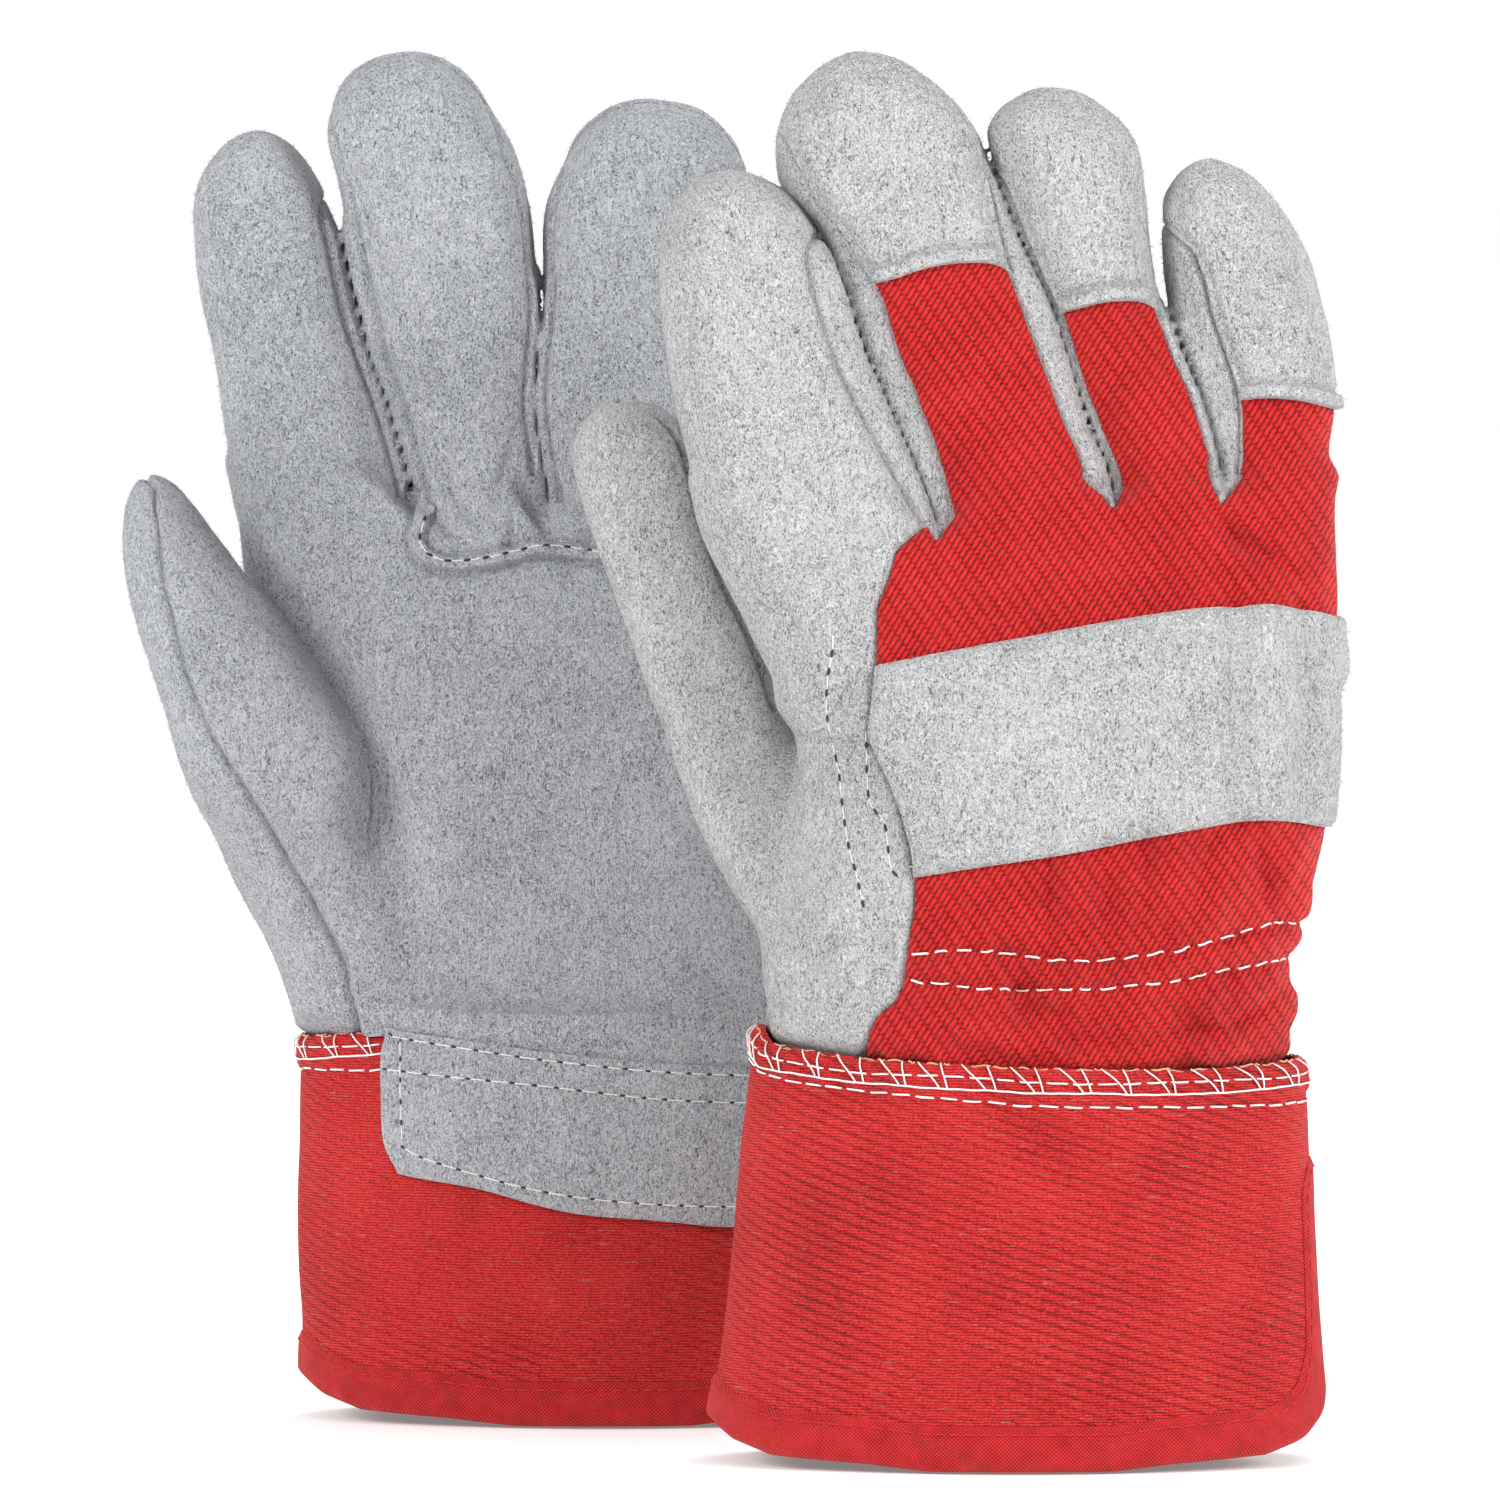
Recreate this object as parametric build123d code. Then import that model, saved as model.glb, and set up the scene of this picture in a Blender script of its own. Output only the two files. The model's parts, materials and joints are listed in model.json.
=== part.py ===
from build123d import *
import json
import math
import os

# A pair of leather-palm work gloves with red cotton-drill backs and stiff
# rubberised safety cuffs, standing on the cuff rims with the fingers up.
# Millimetres, +Z up.  The right glove stands in front (back of the hand
# towards -Y), the left glove behind it (palm towards -Y).  Thumbs are at -X.

# ------------------------------------------------------------------ sizes
WALL = 1.5            # leather and drill wall
LINING = 1.1          # palm lining
ELASTIC = 1.0         # wrist elastic
STRAP_T = 1.5         # knuckle strap and palm patch thickness
CUFF_WALL = 1.9       # rubberised canvas cuff
BIND = 0.9            # binding tape thickness
BIND_H = 9.0          # binding tape height up the cuff
THREAD = 0.5          # sewing thread stand-proud
CUFF_LOW = -5.6       # rim of the cuff, in the drawing heights used below
CUFF_TOP = 76.0       # top edge of the cuff
SLIT_TOP = 44.0       # top of the side vent in the cuff
HAND_BOTTOM = 66.0    # leather reaches this far down inside the cuff
HAND_TOP = 172.0      # hand shell ends just under the finger crotches
FINGER_CUT = 175.6    # finger stalls start here
THUMB_CUT = 133.0     # moving part of the thumb starts here
HINGE_UP = 11.0       # finger hinge above the stall's lower edge
THUMB_HINGE_UP = 9.0
BAND = 0.36           # half height of the fourchette band, share of half depth
HINGE_DEPTH = 0.62    # hinge axis towards the palm, share of half depth
FLEX_DEG = 55.0
BACK_DEG = -8.0
THUMB_DEG = 35.0
PAIR_TRAVEL = 150.0   # the left glove slides away from the right one

# Cross sections of the hand: (z, centre x, half width, half depth)
# Cross sections of a finger: (z, left x, right x, half depth); the first
# lies under the cut, the last is the tip.
GLOVES = {
    "right": {
        "y0": -50.0,
        "palm": 1.0,      # the palm faces +Y
        "cuff": [(CUFF_LOW, 52.0, 59.8, 33.2), (CUFF_TOP, 53.8, 53.3, 30.0)],
        "hand": [(66, 53.8, 50.2, 27.0), (77, 53.8, 50.4, 27.2), (91, 53.6, 50.5, 26.5), (118, 60.5, 52.0, 26.0),
                 (133.6, 61.5, 52.0, 25.0), (160.7, 56.0, 57.0, 23.5), (178, 51.5, 60.5, 22.0)],
        "leather_edge": 27.0,
        "strap": (8.0, 113.0, 128.5, 40.5, 6.0),   # slant centre x, z, height and slant in degrees
        "patch": (5.0, 84.0, 46.0, 37.0),
        "fingers": {
            "index": {"yc": -3.0, "s": [(170, -7.0, 34.2, 13.5), (176, -8.7, 34.2, 13.5), (190, -12.5, 28.0, 12.8), (209, -15.6, 19.7, 12.4),
                                      (224, -17.0, 14.0, 12.0), (233, -16.6, 9.8, 10.6), (240, -12.0, 4.5, 7.4), (243.6, -7.0, -1.0, 2.6)]},
            "middle": {"yc": 0.5, "s": [(170, 36.2, 69.0, 13.0), (176, 36.0, 67.4, 13.0), (190, 29.8, 63.4, 12.6), (209, 21.6, 56.0, 12.4),
                                       (228, 12.6, 48.0, 12.4), (242, 7.4, 43.4, 12.0), (254, 8.0, 40.0, 10.2), (262, 13.0, 34.0, 7.0), (266, 19.0, 26.0, 2.6)]},
            "ring": {"yc": 3.0, "s": [(170, 70.4, 92.6, 12.6), (176, 69.0, 92.0, 12.6), (190, 65.0, 89.6, 12.4), (209, 57.6, 82.8, 12.2),
                                     (228, 49.6, 77.8, 12.0), (240, 45.8, 75.4, 11.2), (250, 46.6, 72.0, 9.0), (256, 51.5, 65.5, 5.6), (258.6, 55.5, 60.5, 2.4)]},
            "little": {"yc": 6.0, "s": [(170, 94.8, 111.2, 11.6), (176, 94.0, 111.2, 11.6), (190, 91.4, 111.8, 11.4), (203, 86.4, 112.6, 11.2),
                                       (218, 80.6, 110.8, 10.8), (230, 79.4, 105.4, 9.6), (238, 81.6, 99.6, 7.4), (243, 85.6, 94.6, 4.2), (244.8, 88.2, 91.4, 2.0)]},
        },
        "caps": {"middle": 228.0, "ring": 223.5, "little": 200.5},
        "thumb": {"yc": 15.0, "s": [(100, -3.0, 18.0, 11.0), (116, -9.6, 14.5, 13.0), (133, -16.2, 9.6, 13.4), (151, -22.8, 2.9, 13.0),
                                   (168.5, -29.0, -4.8, 12.6), (182, -33.6, -9.2, 11.6), (190, -32.6, -13.0, 9.0), (196, -28.6, -17.6, 5.2), (198.4, -25.4, -20.8, 2.2)]},
    },
    "left": {
        "y0": 50.0,
        "palm": -1.0,     # the palm faces -Y
        "cuff": [(CUFF_LOW, -29.6, 59.8, 33.2), (CUFF_TOP, -37.5, 53.3, 30.0)],
        "hand": [(66, -37.4, 50.2, 27.0), (77, -37.5, 50.4, 27.2), (91, -36.5, 51.0, 26.5), (118, -34.0, 53.0, 26.0),
                 (136, -34.5, 54.0, 25.0), (160, -38.5, 58.5, 23.5), (178, -41.5, 60.5, 22.0)],
        "leather_edge": -66.0,
        "strap": (8.0, 113.0, 128.5, 40.5, 6.0),
        "patch": (-73.0, 8.0, 46.0, 37.0),
        "fingers": {
            "index": {"yc": -3.0, "s": [(170, -101.0, -68.4, 13.5), (176, -101.6, -68.6, 13.5), (183, -103.2, -69.8, 13.2), (197, -105.3, -73.8, 12.8),
                                      (217, -109.2, -80.6, 12.2), (234, -111.4, -85.6, 11.4), (243, -108.6, -87.6, 9.0), (249, -103.6, -91.0, 5.4), (251.4, -99.6, -94.6, 2.4)]},
            "middle": {"yc": 0.5, "s": [(170, -66.6, -41.8, 13.0), (176, -67.0, -41.6, 13.0), (197, -72.4, -44.4, 12.6), (217, -78.8, -43.4, 12.4),
                                       (233, -82.2, -44.2, 12.4), (248, -84.2, -47.6, 11.8), (257, -80.6, -53.4, 9.2), (263, -75.0, -60.0, 5.8), (266.2, -70.4, -65.4, 2.4)]},
            "ring": {"yc": 3.0, "s": [(170, -39.2, -10.0, 12.6), (176, -39.4, -9.4, 12.6), (197, -42.6, -5.0, 12.4), (217, -41.4, -1.4, 12.2),
                                     (235, -38.4, -0.8, 12.0), (246, -35.6, -2.2, 10.6), (252, -31.4, -7.6, 7.6), (256, -24.0, -15.6, 2.6)]},
            "little": {"yc": 6.0, "s": [(170, -7.6, 18.6, 11.6), (176, -7.0, 18.8, 11.6), (190, -2.8, 22.0, 11.4), (208, 2.4, 27.0, 11.2),
                                       (220, 5.4, 29.2, 10.4), (229, 8.4, 28.0, 8.6), (235, 12.4, 25.6, 5.6), (238.4, 16.6, 22.0, 2.2)]},
        },
        "caps": {"middle": 228.0, "ring": 221.5, "little": 195.0},
        "thumb": {"yc": 18.0, "s": [(90, -98.0, -76.0, 9.0), (107, -106.0, -75.4, 12.4), (123, -112.0, -76.6, 14.0), (137, -116.6, -82.6, 14.0), (150, -121.0, -91.6, 13.2),
                                   (163, -124.0, -99.8, 12.0), (172, -124.6, -106.4, 9.8), (179, -123.2, -112.0, 6.2), (182.8, -120.6, -117.0, 2.2)]},
    },
}
FINGERS = ("index", "middle", "ring", "little")


# ---------------------------------------------------------------- helpers
def ellipse_at(x, y, z, a, b):
    return Pos(x, y, z) * Ellipse(a, b).face()


def tube_solid(rows):
    """Closed solid lofted straight through (z, x, y, a, b) ellipses."""
    return loft([ellipse_at(x, y, z, a, b) for z, x, y, a, b in rows], ruled=True)


def at(rows, z):
    """Linear interpolation in rows of numbers whose first entry is z."""
    if z <= rows[0][0]:
        p, q = rows[0], rows[1]
    else:
        p, q = next(((p, q) for p, q in zip(rows, rows[1:]) if z <= q[0]), rows[-2:])
    t = (z - p[0]) / (q[0] - p[0])
    return [z] + [u + (v - u) * t for u, v in zip(p[1:], q[1:])]


def grown(rows, y, by, z_low=None, z_high=None):
    """Hand or cuff solid, its walls moved out by 'by' (in when negative)."""
    zs = sorted({r[0] for r in rows} | {z for z in (z_low, z_high) if z is not None})
    zs = [z for z in zs if (z_low is None or z >= z_low) and (z_high is None or z <= z_high)]
    out = []
    for z in zs:
        _, x, a, b = at(rows, z)
        out.append((z, x, y, a + by, b + by))
    return tube_solid(out)


def finger_solid(rows, y, z_low, wall=0.0):
    """Finger stall outer form, or its cavity when wall is given."""
    tip = rows[-1][0]
    out = []
    if not wall:
        for z in [z_low] + [r[0] for r in rows if r[0] > z_low]:
            _, l, r, t = at(rows, z)
            out.append((z, (l + r) / 2, y, (r - l) / 2, t))
    else:
        top = tip - 2.6 * wall
        for z in [z_low] + [r[0] for r in rows if z_low < r[0] < top - 1] + [top]:
            _, l, r, t = at(rows, z)
            out.append((z, (l + r) / 2, y, max((r - l) / 2 - wall, 1.2), max(t - wall, 1.0)))
    return tube_solid(out)


def slab(x0, x1, y0, y1, z0, z1):
    return Pos((x0 + x1) / 2, (y0 + y1) / 2, (z0 + z1) / 2) * Box(x1 - x0, y1 - y0, z1 - z0)


def y_range(y, side, low, high):
    """Box between two depths measured towards the palm from y."""
    a, b = sorted((y + side * low, y + side * high))
    return slab(-300, 300, a, b, -10, 320)


def solids_of(shape, least=0.5):
    return [s for s in shape.solids() if s.volume > least]


nodes = {}     # node name -> list of solids
bodies = {}    # body name -> list of node names
joints = []
openings = []
facts = {}


def add(body, name, shape):
    found = solids_of(shape)
    if not found:
        raise ValueError(f"{name} came out empty")
    nodes[name] = found
    bodies.setdefault(body, []).append(name)


def slit_prism(x, y, grow):
    """Side vent of the cuff, cut through the wall at +X, wider at the rim."""
    g = grow
    pts = [(-10.0 - g, CUFF_LOW - 1.0), (-9.0 - g, CUFF_LOW + 2.0), (-4.6 - g, CUFF_LOW + 9.0), (-2.2 - g, 18.0), (-1.0 - g, SLIT_TOP + g * 0.7),
           (1.0 + g, SLIT_TOP + g * 0.7), (2.2 + g, 18.0), (4.6 + g, CUFF_LOW + 9.0), (9.0 + g, CUFF_LOW + 2.0), (10.0 + g, CUFF_LOW - 1.0)]
    wire = Polyline(*[(x, y + p, z) for p, z in pts], close=True)
    face = make_face(wire)
    return extrude(face, amount=60, dir=(1, 0, 0))


def opening(name, holds, x0, x1, y0, y1, z0, z1):
    openings.append({"name": name, "holds": holds, "box": [x0, min(y0, y1), z0, x1, max(y0, y1), z1]})


# ------------------------------------------------------------------ gloves
for side, g in GLOVES.items():
    y0, pd = g["y0"], g["palm"]
    root = f"{side}_hand"
    hand = g["hand"]
    cuff = g["cuff"]
    cx = cuff[0][1]

    # thumb forms, needed before the hand is cut open for it
    trows, ty = g["thumb"]["s"], y0 + pd * g["thumb"]["yc"]
    thumb_outer_base = finger_solid([r for r in trows if r[0] <= 151], ty, trows[0][0])
    thumb_hole = finger_solid(trows, ty, trows[0][0] - 0.0, WALL)

    # hand shell
    outer = grown(hand, y0, 0, HAND_BOTTOM, HAND_TOP)
    inner = grown(hand, y0, -WALL, HAND_BOTTOM, HAND_TOP)
    shell = outer - inner
    edge = g["leather_edge"]
    dorsal = y_range(y0, pd, -60, 0)
    back_zone = dorsal & slab(edge, 300, -300, 300, 0, 300)
    back = shell & back_zone
    palm = shell - back_zone
    palm = palm - (thumb_hole & slab(-300, 300, -300, 300, 0, THUMB_CUT - 6))
    add(root, f"{side}_palm_leather", palm)
    add(root, f"{side}_back_fabric", back)

    # palm lining, inside the palm leather
    lin = grown(hand, y0, -WALL, HAND_BOTTOM, HAND_TOP) - grown(hand, y0, -WALL - LINING, HAND_BOTTOM, HAND_TOP)
    lin = lin & y_range(y0, pd, 2.0, 60) & slab(-300, 300, -300, 300, HAND_BOTTOM + 6, HAND_TOP - 1)
    lin = lin - thumb_hole
    add(root, f"{side}_palm_lining", lin)

    # wrist elastic, inside the back fabric
    ela = grown(hand, y0, -WALL, HAND_BOTTOM, HAND_TOP) - grown(hand, y0, -WALL - ELASTIC, HAND_BOTTOM, HAND_TOP)
    ela = ela & y_range(y0, pd, -60, -1.0) & slab(edge + 2, 300, -300, 300, 89.0, 97.0)
    add(root, f"{side}_wrist_elastic", ela)

    # knuckle strap, on the back fabric
    x_mid = (edge + at(hand, 133)[1] + at(hand, 133)[2]) / 2
    layer = grown(hand, y0, STRAP_T, HAND_BOTTOM, HAND_TOP) - outer
    zone = Pos(x_mid, y0 - pd * 30, 133.4) * Rot(0, -g["strap"][4], 0) * Box(200, 58, g["strap"][3])
    strap = layer & zone & slab(edge + 1, 300, -300, 300, 0, HAND_TOP)
    add(root, f"{side}_knuckle_strap", strap)

    # shirring stitches, two rows of thread on the back fabric
    thread_layer = grown(hand, y0, THREAD, HAND_BOTTOM, HAND_TOP) - outer
    rows_z = slab(edge + 1, 300, -300, 300, 89.6, 90.4) + slab(edge + 1, 300, -300, 300, 95.6, 96.4)
    add(root, f"{side}_shirring_stitches", thread_layer & y_range(y0, pd, -60, -1.0) & rows_z)

    # safety cuff with a side vent, and the binding round its rim and vent
    cuff_out = grown(cuff, y0, 0)
    cuff_in = grown(cuff, y0, -CUFF_WALL)
    slit = slit_prism(cx + 15, y0, 0)
    cuff_body = (cuff_out - cuff_in - slit_prism(cx + 15, y0, BIND)) & slab(-300, 300, -300, 300, CUFF_LOW + BIND, CUFF_TOP)
    add(root, f"{side}_cuff", cuff_body)
    band = grown(cuff, y0, BIND) - grown(cuff, y0, -CUFF_WALL - BIND)
    low = slab(-300, 300, -300, 300, CUFF_LOW, CUFF_LOW + BIND_H)
    around_slit = slit_prism(cx + 15, y0, 7.0) & slab(-300, 300, -300, 300, CUFF_LOW, 60)
    binding = (band & (low + around_slit)) - slit - cuff_body
    add(root, f"{side}_cuff_binding", binding)

    # palm patch: the tongue of palm leather sewn down over the cuff
    px0, px1, pz_l, pz_r = g["patch"]
    tongue = make_face(Polyline((px0, 0, CUFF_TOP + 1.5), (px0, 0, pz_l + 4), (px0 + 4, 0, pz_l - 1), ((px0 + px1) / 2, 0, pz_r - 1), (px1 - 4, 0, pz_r), (px1, 0, pz_r + 5), (px1, 0, CUFF_TOP + 1.5), close=True))
    tongue = Pos(0, y0, 0) * extrude(tongue, amount=60, dir=(0, pd, 0))
    wide_cuff = [cuff[0], (CUFF_TOP + 4,) + tuple(at(cuff, CUFF_TOP + 4)[1:])]
    patch = (grown(wide_cuff, y0, STRAP_T) - grown(wide_cuff, y0, 0)) & tongue
    add(root, f"{side}_palm_patch", patch)

    # overlocked join and top stitching round the top of the cuff
    lock = (grown(cuff, y0, THREAD + 0.3) - cuff_out) & slab(-300, 300, -300, 300, 70.5, CUFF_TOP)
    add(root, f"{side}_cuff_overlock", lock - patch)
    top = (grown(cuff, y0, THREAD) - cuff_out) & slab(-300, 300, -300, 300, 67.4, 68.2)
    add(root, f"{side}_cuff_topstitch", top - patch)

    # fixed lower part of the thumb, let into the side of the palm
    base = finger_solid([r for r in trows if r[0] <= 151], ty, trows[0][0]) & slab(-300, 300, -300, 300, 0, THUMB_CUT - 3.0)
    base = base - thumb_hole - outer
    gusset = max(solids_of(base), key=lambda s: s.volume)
    add(root, f"{side}_thumb_gusset", Part() + gusset if not hasattr(gusset, "solids") else gusset)

    # moving thumb
    stall = finger_solid(trows, ty, THUMB_CUT) - finger_solid(trows, ty, THUMB_CUT - 0.0, WALL)
    body = f"{side}_thumb"
    _, l, r, t = at(trows, THUMB_CUT)
    bx, bz = (l + r) / 2, THUMB_CUT
    tx, tz = (trows[-1][1] + trows[-1][2]) / 2, trows[-1][0]
    n = math.hypot(tx - bx, tz - bz)
    d = ((tx - bx) / n, (tz - bz) / n)
    # the side of the hand is cleared out of the thumb's whole swing
    clear = grown(hand, y0, 1.2, HAND_BOTTOM, HAND_TOP + 20)
    turn = Axis((bx + d[0] * THUMB_HINGE_UP, ty + pd * t * HINGE_DEPTH, bz + d[1] * THUMB_HINGE_UP), (-pd * d[1], 0, pd * d[0]))
    for deg in (BACK_DEG, 0, THUMB_DEG * 0.33, THUMB_DEG * 0.67, THUMB_DEG):
        stall = stall - (clear.rotate(turn, -deg) if deg else clear)
    stall = max(solids_of(stall), key=lambda s: s.volume)
    add(body, f"{side}_thumb_front", stall & y_range(ty, pd, 0, 60))
    add(body, f"{side}_thumb_back", stall & y_range(ty, pd, -60, 0))
    joints.append({"name": f"{side}_thumb_flex", "parent": root, "child": body, "pos": [bx + d[0] * THUMB_HINGE_UP, ty + pd * t * HINGE_DEPTH, bz + d[1] * THUMB_HINGE_UP],
                   "axis": [-pd * d[1], 0, pd * d[0]], "range": [BACK_DEG, THUMB_DEG]})

    # finger stalls
    for k, f in enumerate(FINGERS):
        rows = g["fingers"][f]["s"]
        fy = y0 + pd * g["fingers"][f]["yc"]
        stall = finger_solid(rows, fy, FINGER_CUT) - finger_solid(rows, fy, FINGER_CUT, WALL)
        _, l, r, t = at(rows, FINGER_CUT)
        c = BAND * t
        band = y_range(fy, pd, -c, c)
        mid = band & stall
        pieces = solids_of(mid)
        centre_at = lambda z: sum(at(rows, z)[1:3]) / 2
        left_bits = [s for s in pieces if s.center().X < centre_at(s.center().Z)]
        right_bits = [s for s in pieces if s.center().X >= centre_at(s.center().Z)]
        # the band passes over the tip as one piece, so it is parted down the middle
        if len(pieces) == 1:
            tip_z = rows[-1][0]
            mids = [(z, centre_at(z)) for z in (FINGER_CUT - 1, *[q[0] for q in rows if q[0] > FINGER_CUT], tip_z + 2)]
            poly = [(-300, FINGER_CUT - 1)] + [(x, z) for z, x in mids] + [(-300, tip_z + 2)]
            left_zone = Pos(0, -150, 0) * extrude(make_face(Polyline(*[(x, 0, z) for x, z in poly], close=True)), amount=300, dir=(0, 1, 0))
            left_mid = mid & left_zone
            right_mid = mid - left_zone
        else:
            left_mid = Part() + left_bits
            right_mid = Part() + right_bits
        front = stall & y_range(fy, pd, c, 60)
        rear = stall & y_range(fy, pd, -60, -c)
        body = f"{side}_{f}"
        if f == "index":
            add(body, f"{side}_index_leather", front + rear + left_mid)
            add(body, f"{side}_index_fourchette", right_mid)
        else:
            cap_z = g["caps"][f]
            cap = rear & slab(-300, 300, -300, 300, cap_z, 320)
            red = rear & slab(-300, 300, -300, 300, 0, cap_z)
            if f == "little":
                add(body, f"{side}_little_front", front + right_mid)
                add(body, f"{side}_little_fourchette", left_mid)
            else:
                add(body, f"{side}_{f}_front", front)
                add(body, f"{side}_{f}_fourchettes", left_mid + right_mid)
            add(body, f"{side}_{f}_back", red)
            add(body, f"{side}_{f}_cap", cap)
        bx, bz = (l + r) / 2, FINGER_CUT
        tx, tz = (rows[-1][1] + rows[-1][2]) / 2, rows[-1][0]
        n = math.hypot(tx - bx, tz - bz)
        d = ((tx - bx) / n, (tz - bz) / n)
        joints.append({"name": f"{side}_{f}_flex", "parent": root, "child": body, "pos": [bx + d[0] * HINGE_UP, fy + pd * t * HINGE_DEPTH, bz + d[1] * HINGE_UP],
                       "axis": [-pd * d[1], 0, pd * d[0]], "range": [BACK_DEG, FLEX_DEG]})
        # space for the wearer's finger, in two boxes up the leaning stall
        top = rows[-1][0] - 10
        half = (FINGER_CUT + 1 + top) / 2
        for i, (za, zb) in enumerate(((FINGER_CUT + 0.5, half), (half, top))):
            ends = [at(rows, z) for z in (za, zb)] + [q for q in rows if za < q[0] < zb]
            dep = min(q[3] for q in ends) * 0.55
            lean = 0.80
            lo = max((q[1] + q[2]) / 2 - ((q[2] - q[1]) / 2 - WALL) * lean for q in ends)
            hi = min((q[1] + q[2]) / 2 + ((q[2] - q[1]) / 2 - WALL) * lean for q in ends)
            opening(f"{side}_{f}_stall_{i + 1}", "the wearer's finger", lo + 0.3, hi - 0.3, fy - dep, fy + dep, za, zb)

    # thumb stall, cuff mouth and hand cavity
    top = trows[-1][0] - 16
    for i, (za, zb) in enumerate(((THUMB_CUT + 0.5, (THUMB_CUT + top) / 2), ((THUMB_CUT + top) / 2, top))):
        ends = [at(trows, z) for z in (za, zb)] + [q for q in trows if za < q[0] < zb]
        dep = min(q[3] for q in ends) * 0.5
        lo = max((q[1] + q[2]) / 2 - ((q[2] - q[1]) / 2 - WALL) * 0.8 for q in ends)
        hi = min((q[1] + q[2]) / 2 + ((q[2] - q[1]) / 2 - WALL) * 0.8 for q in ends)
        opening(f"{side}_thumb_stall_{i + 1}", "the wearer's thumb", lo + 0.3, hi - 0.3, ty - dep, ty + dep, za, zb)
    opening(f"{side}_cuff_mouth", "the wearer's hand and wrist", at(cuff, 40)[1] - 41, at(cuff, 40)[1] + 41, y0 - 17.5, y0 + 17.5, CUFF_LOW - 2, 66)
    hz = [at(hand, z) for z in (66, 91, 118, 133.6, 150)]
    hlo = max(q[1] - (q[2] - 3) * 0.74 for q in hz)
    hhi = min(q[1] + (q[2] - 3) * 0.74 for q in hz)
    opening(f"{side}_hand_cavity", "the wearer's palm", hlo, hhi, y0 - 13.8, y0 + 13.8, 66, 150)
    hz = [at(hand, z) for z in (150, 160.7, 173)]
    hlo = max(q[1] - (q[2] - 3) * 0.74 for q in hz)
    hhi = min(q[1] + (q[2] - 3) * 0.74 for q in hz)
    opening(f"{side}_knuckle_cavity", "the wearer's knuckles", hlo, hhi, y0 - 12.5, y0 + 12.5, 150, 173)
    facts[side] = {"rim_face": [cx, y0 - cuff[0][3] + 0.5, CUFF_LOW]}

joints.append({"name": "pair_slide", "parent": "right_hand", "child": "left_hand", "axis": [0, 1, 0], "travel": [0, PAIR_TRAVEL]})

# -------------------------------------------- origin: bottom centre of the pair
low = [1e9] * 3
high = [-1e9] * 3
for group in nodes.values():
    for s in group:
        b = s.bounding_box()
        low = [min(u, v) for u, v in zip(low, tuple(b.min))]
        high = [max(u, v) for u, v in zip(high, tuple(b.max))]
shift = (-(low[0] + high[0]) / 2, -(low[1] + high[1]) / 2, -low[2])

os.makedirs("parts", exist_ok=True)
for name, group in nodes.items():
    moved = [Pos(*shift) * s for s in group]
    export_step(Compound(children=moved) if len(moved) > 1 else moved[0], f"parts/{name}.step")

print("FACTS " + json.dumps({"shift": shift, "bodies": bodies, "joints": joints, "openings": openings, "facts": facts, "low": low, "high": high}))
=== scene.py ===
import bpy, json, math
import numpy as np
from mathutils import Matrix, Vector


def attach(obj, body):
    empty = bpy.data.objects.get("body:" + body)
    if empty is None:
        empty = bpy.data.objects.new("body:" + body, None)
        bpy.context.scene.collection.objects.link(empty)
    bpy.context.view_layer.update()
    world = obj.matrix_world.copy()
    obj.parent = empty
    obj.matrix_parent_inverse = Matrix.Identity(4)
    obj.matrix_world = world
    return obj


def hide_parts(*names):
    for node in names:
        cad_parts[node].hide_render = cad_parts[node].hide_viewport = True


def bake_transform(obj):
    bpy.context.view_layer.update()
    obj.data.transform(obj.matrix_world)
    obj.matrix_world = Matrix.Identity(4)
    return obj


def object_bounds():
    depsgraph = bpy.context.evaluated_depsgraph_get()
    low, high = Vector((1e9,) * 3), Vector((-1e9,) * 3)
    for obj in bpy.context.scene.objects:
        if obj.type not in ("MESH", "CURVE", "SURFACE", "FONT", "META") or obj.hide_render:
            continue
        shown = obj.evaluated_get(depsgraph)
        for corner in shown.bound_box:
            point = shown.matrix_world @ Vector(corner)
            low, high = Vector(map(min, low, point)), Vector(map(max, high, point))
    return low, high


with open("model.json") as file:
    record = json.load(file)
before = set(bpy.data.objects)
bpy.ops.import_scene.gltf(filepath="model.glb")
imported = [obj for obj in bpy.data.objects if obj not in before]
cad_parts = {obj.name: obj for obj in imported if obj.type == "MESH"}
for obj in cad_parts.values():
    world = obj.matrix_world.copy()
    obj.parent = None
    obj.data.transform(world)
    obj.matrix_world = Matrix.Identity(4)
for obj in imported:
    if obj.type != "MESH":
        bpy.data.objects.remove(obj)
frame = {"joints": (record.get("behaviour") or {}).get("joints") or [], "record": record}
CAD_BOX = [list(map(float, v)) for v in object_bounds()]

# Working units are millimetres in the drawing frame of the gloves; SH moves them
# into the row frame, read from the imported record's own rest face.
_m = next(m for m in frame["record"]["mounts"] if m["name"] == "right_cuff_rim")["pos_m"]
SH = np.array([_m[0] * 1000 - 52.0, _m[1] * 1000 + 82.7, _m[2] * 1000 + 5.6])
VOX = 0.9
rng = np.random.default_rng(7)


# ------------------------------------------------------------------ small maths
def smooth(e0, e1, x):
    t = np.clip((x - e0) / (e1 - e0), 0, 1)
    return t * t * (3 - 2 * t)


def tab(rows, z, col=1):
    r = np.array(sorted(rows), float)
    return np.interp(z, r[:, 0], r[:, col])


def smin(a, b, k):
    h = np.clip(0.5 + 0.5 * (b - a) / k, 0, 1)
    return b + (a - b) * h - k * h * (1 - h)


def smax(a, b, k):
    return -smin(-a, -b, k)


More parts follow.
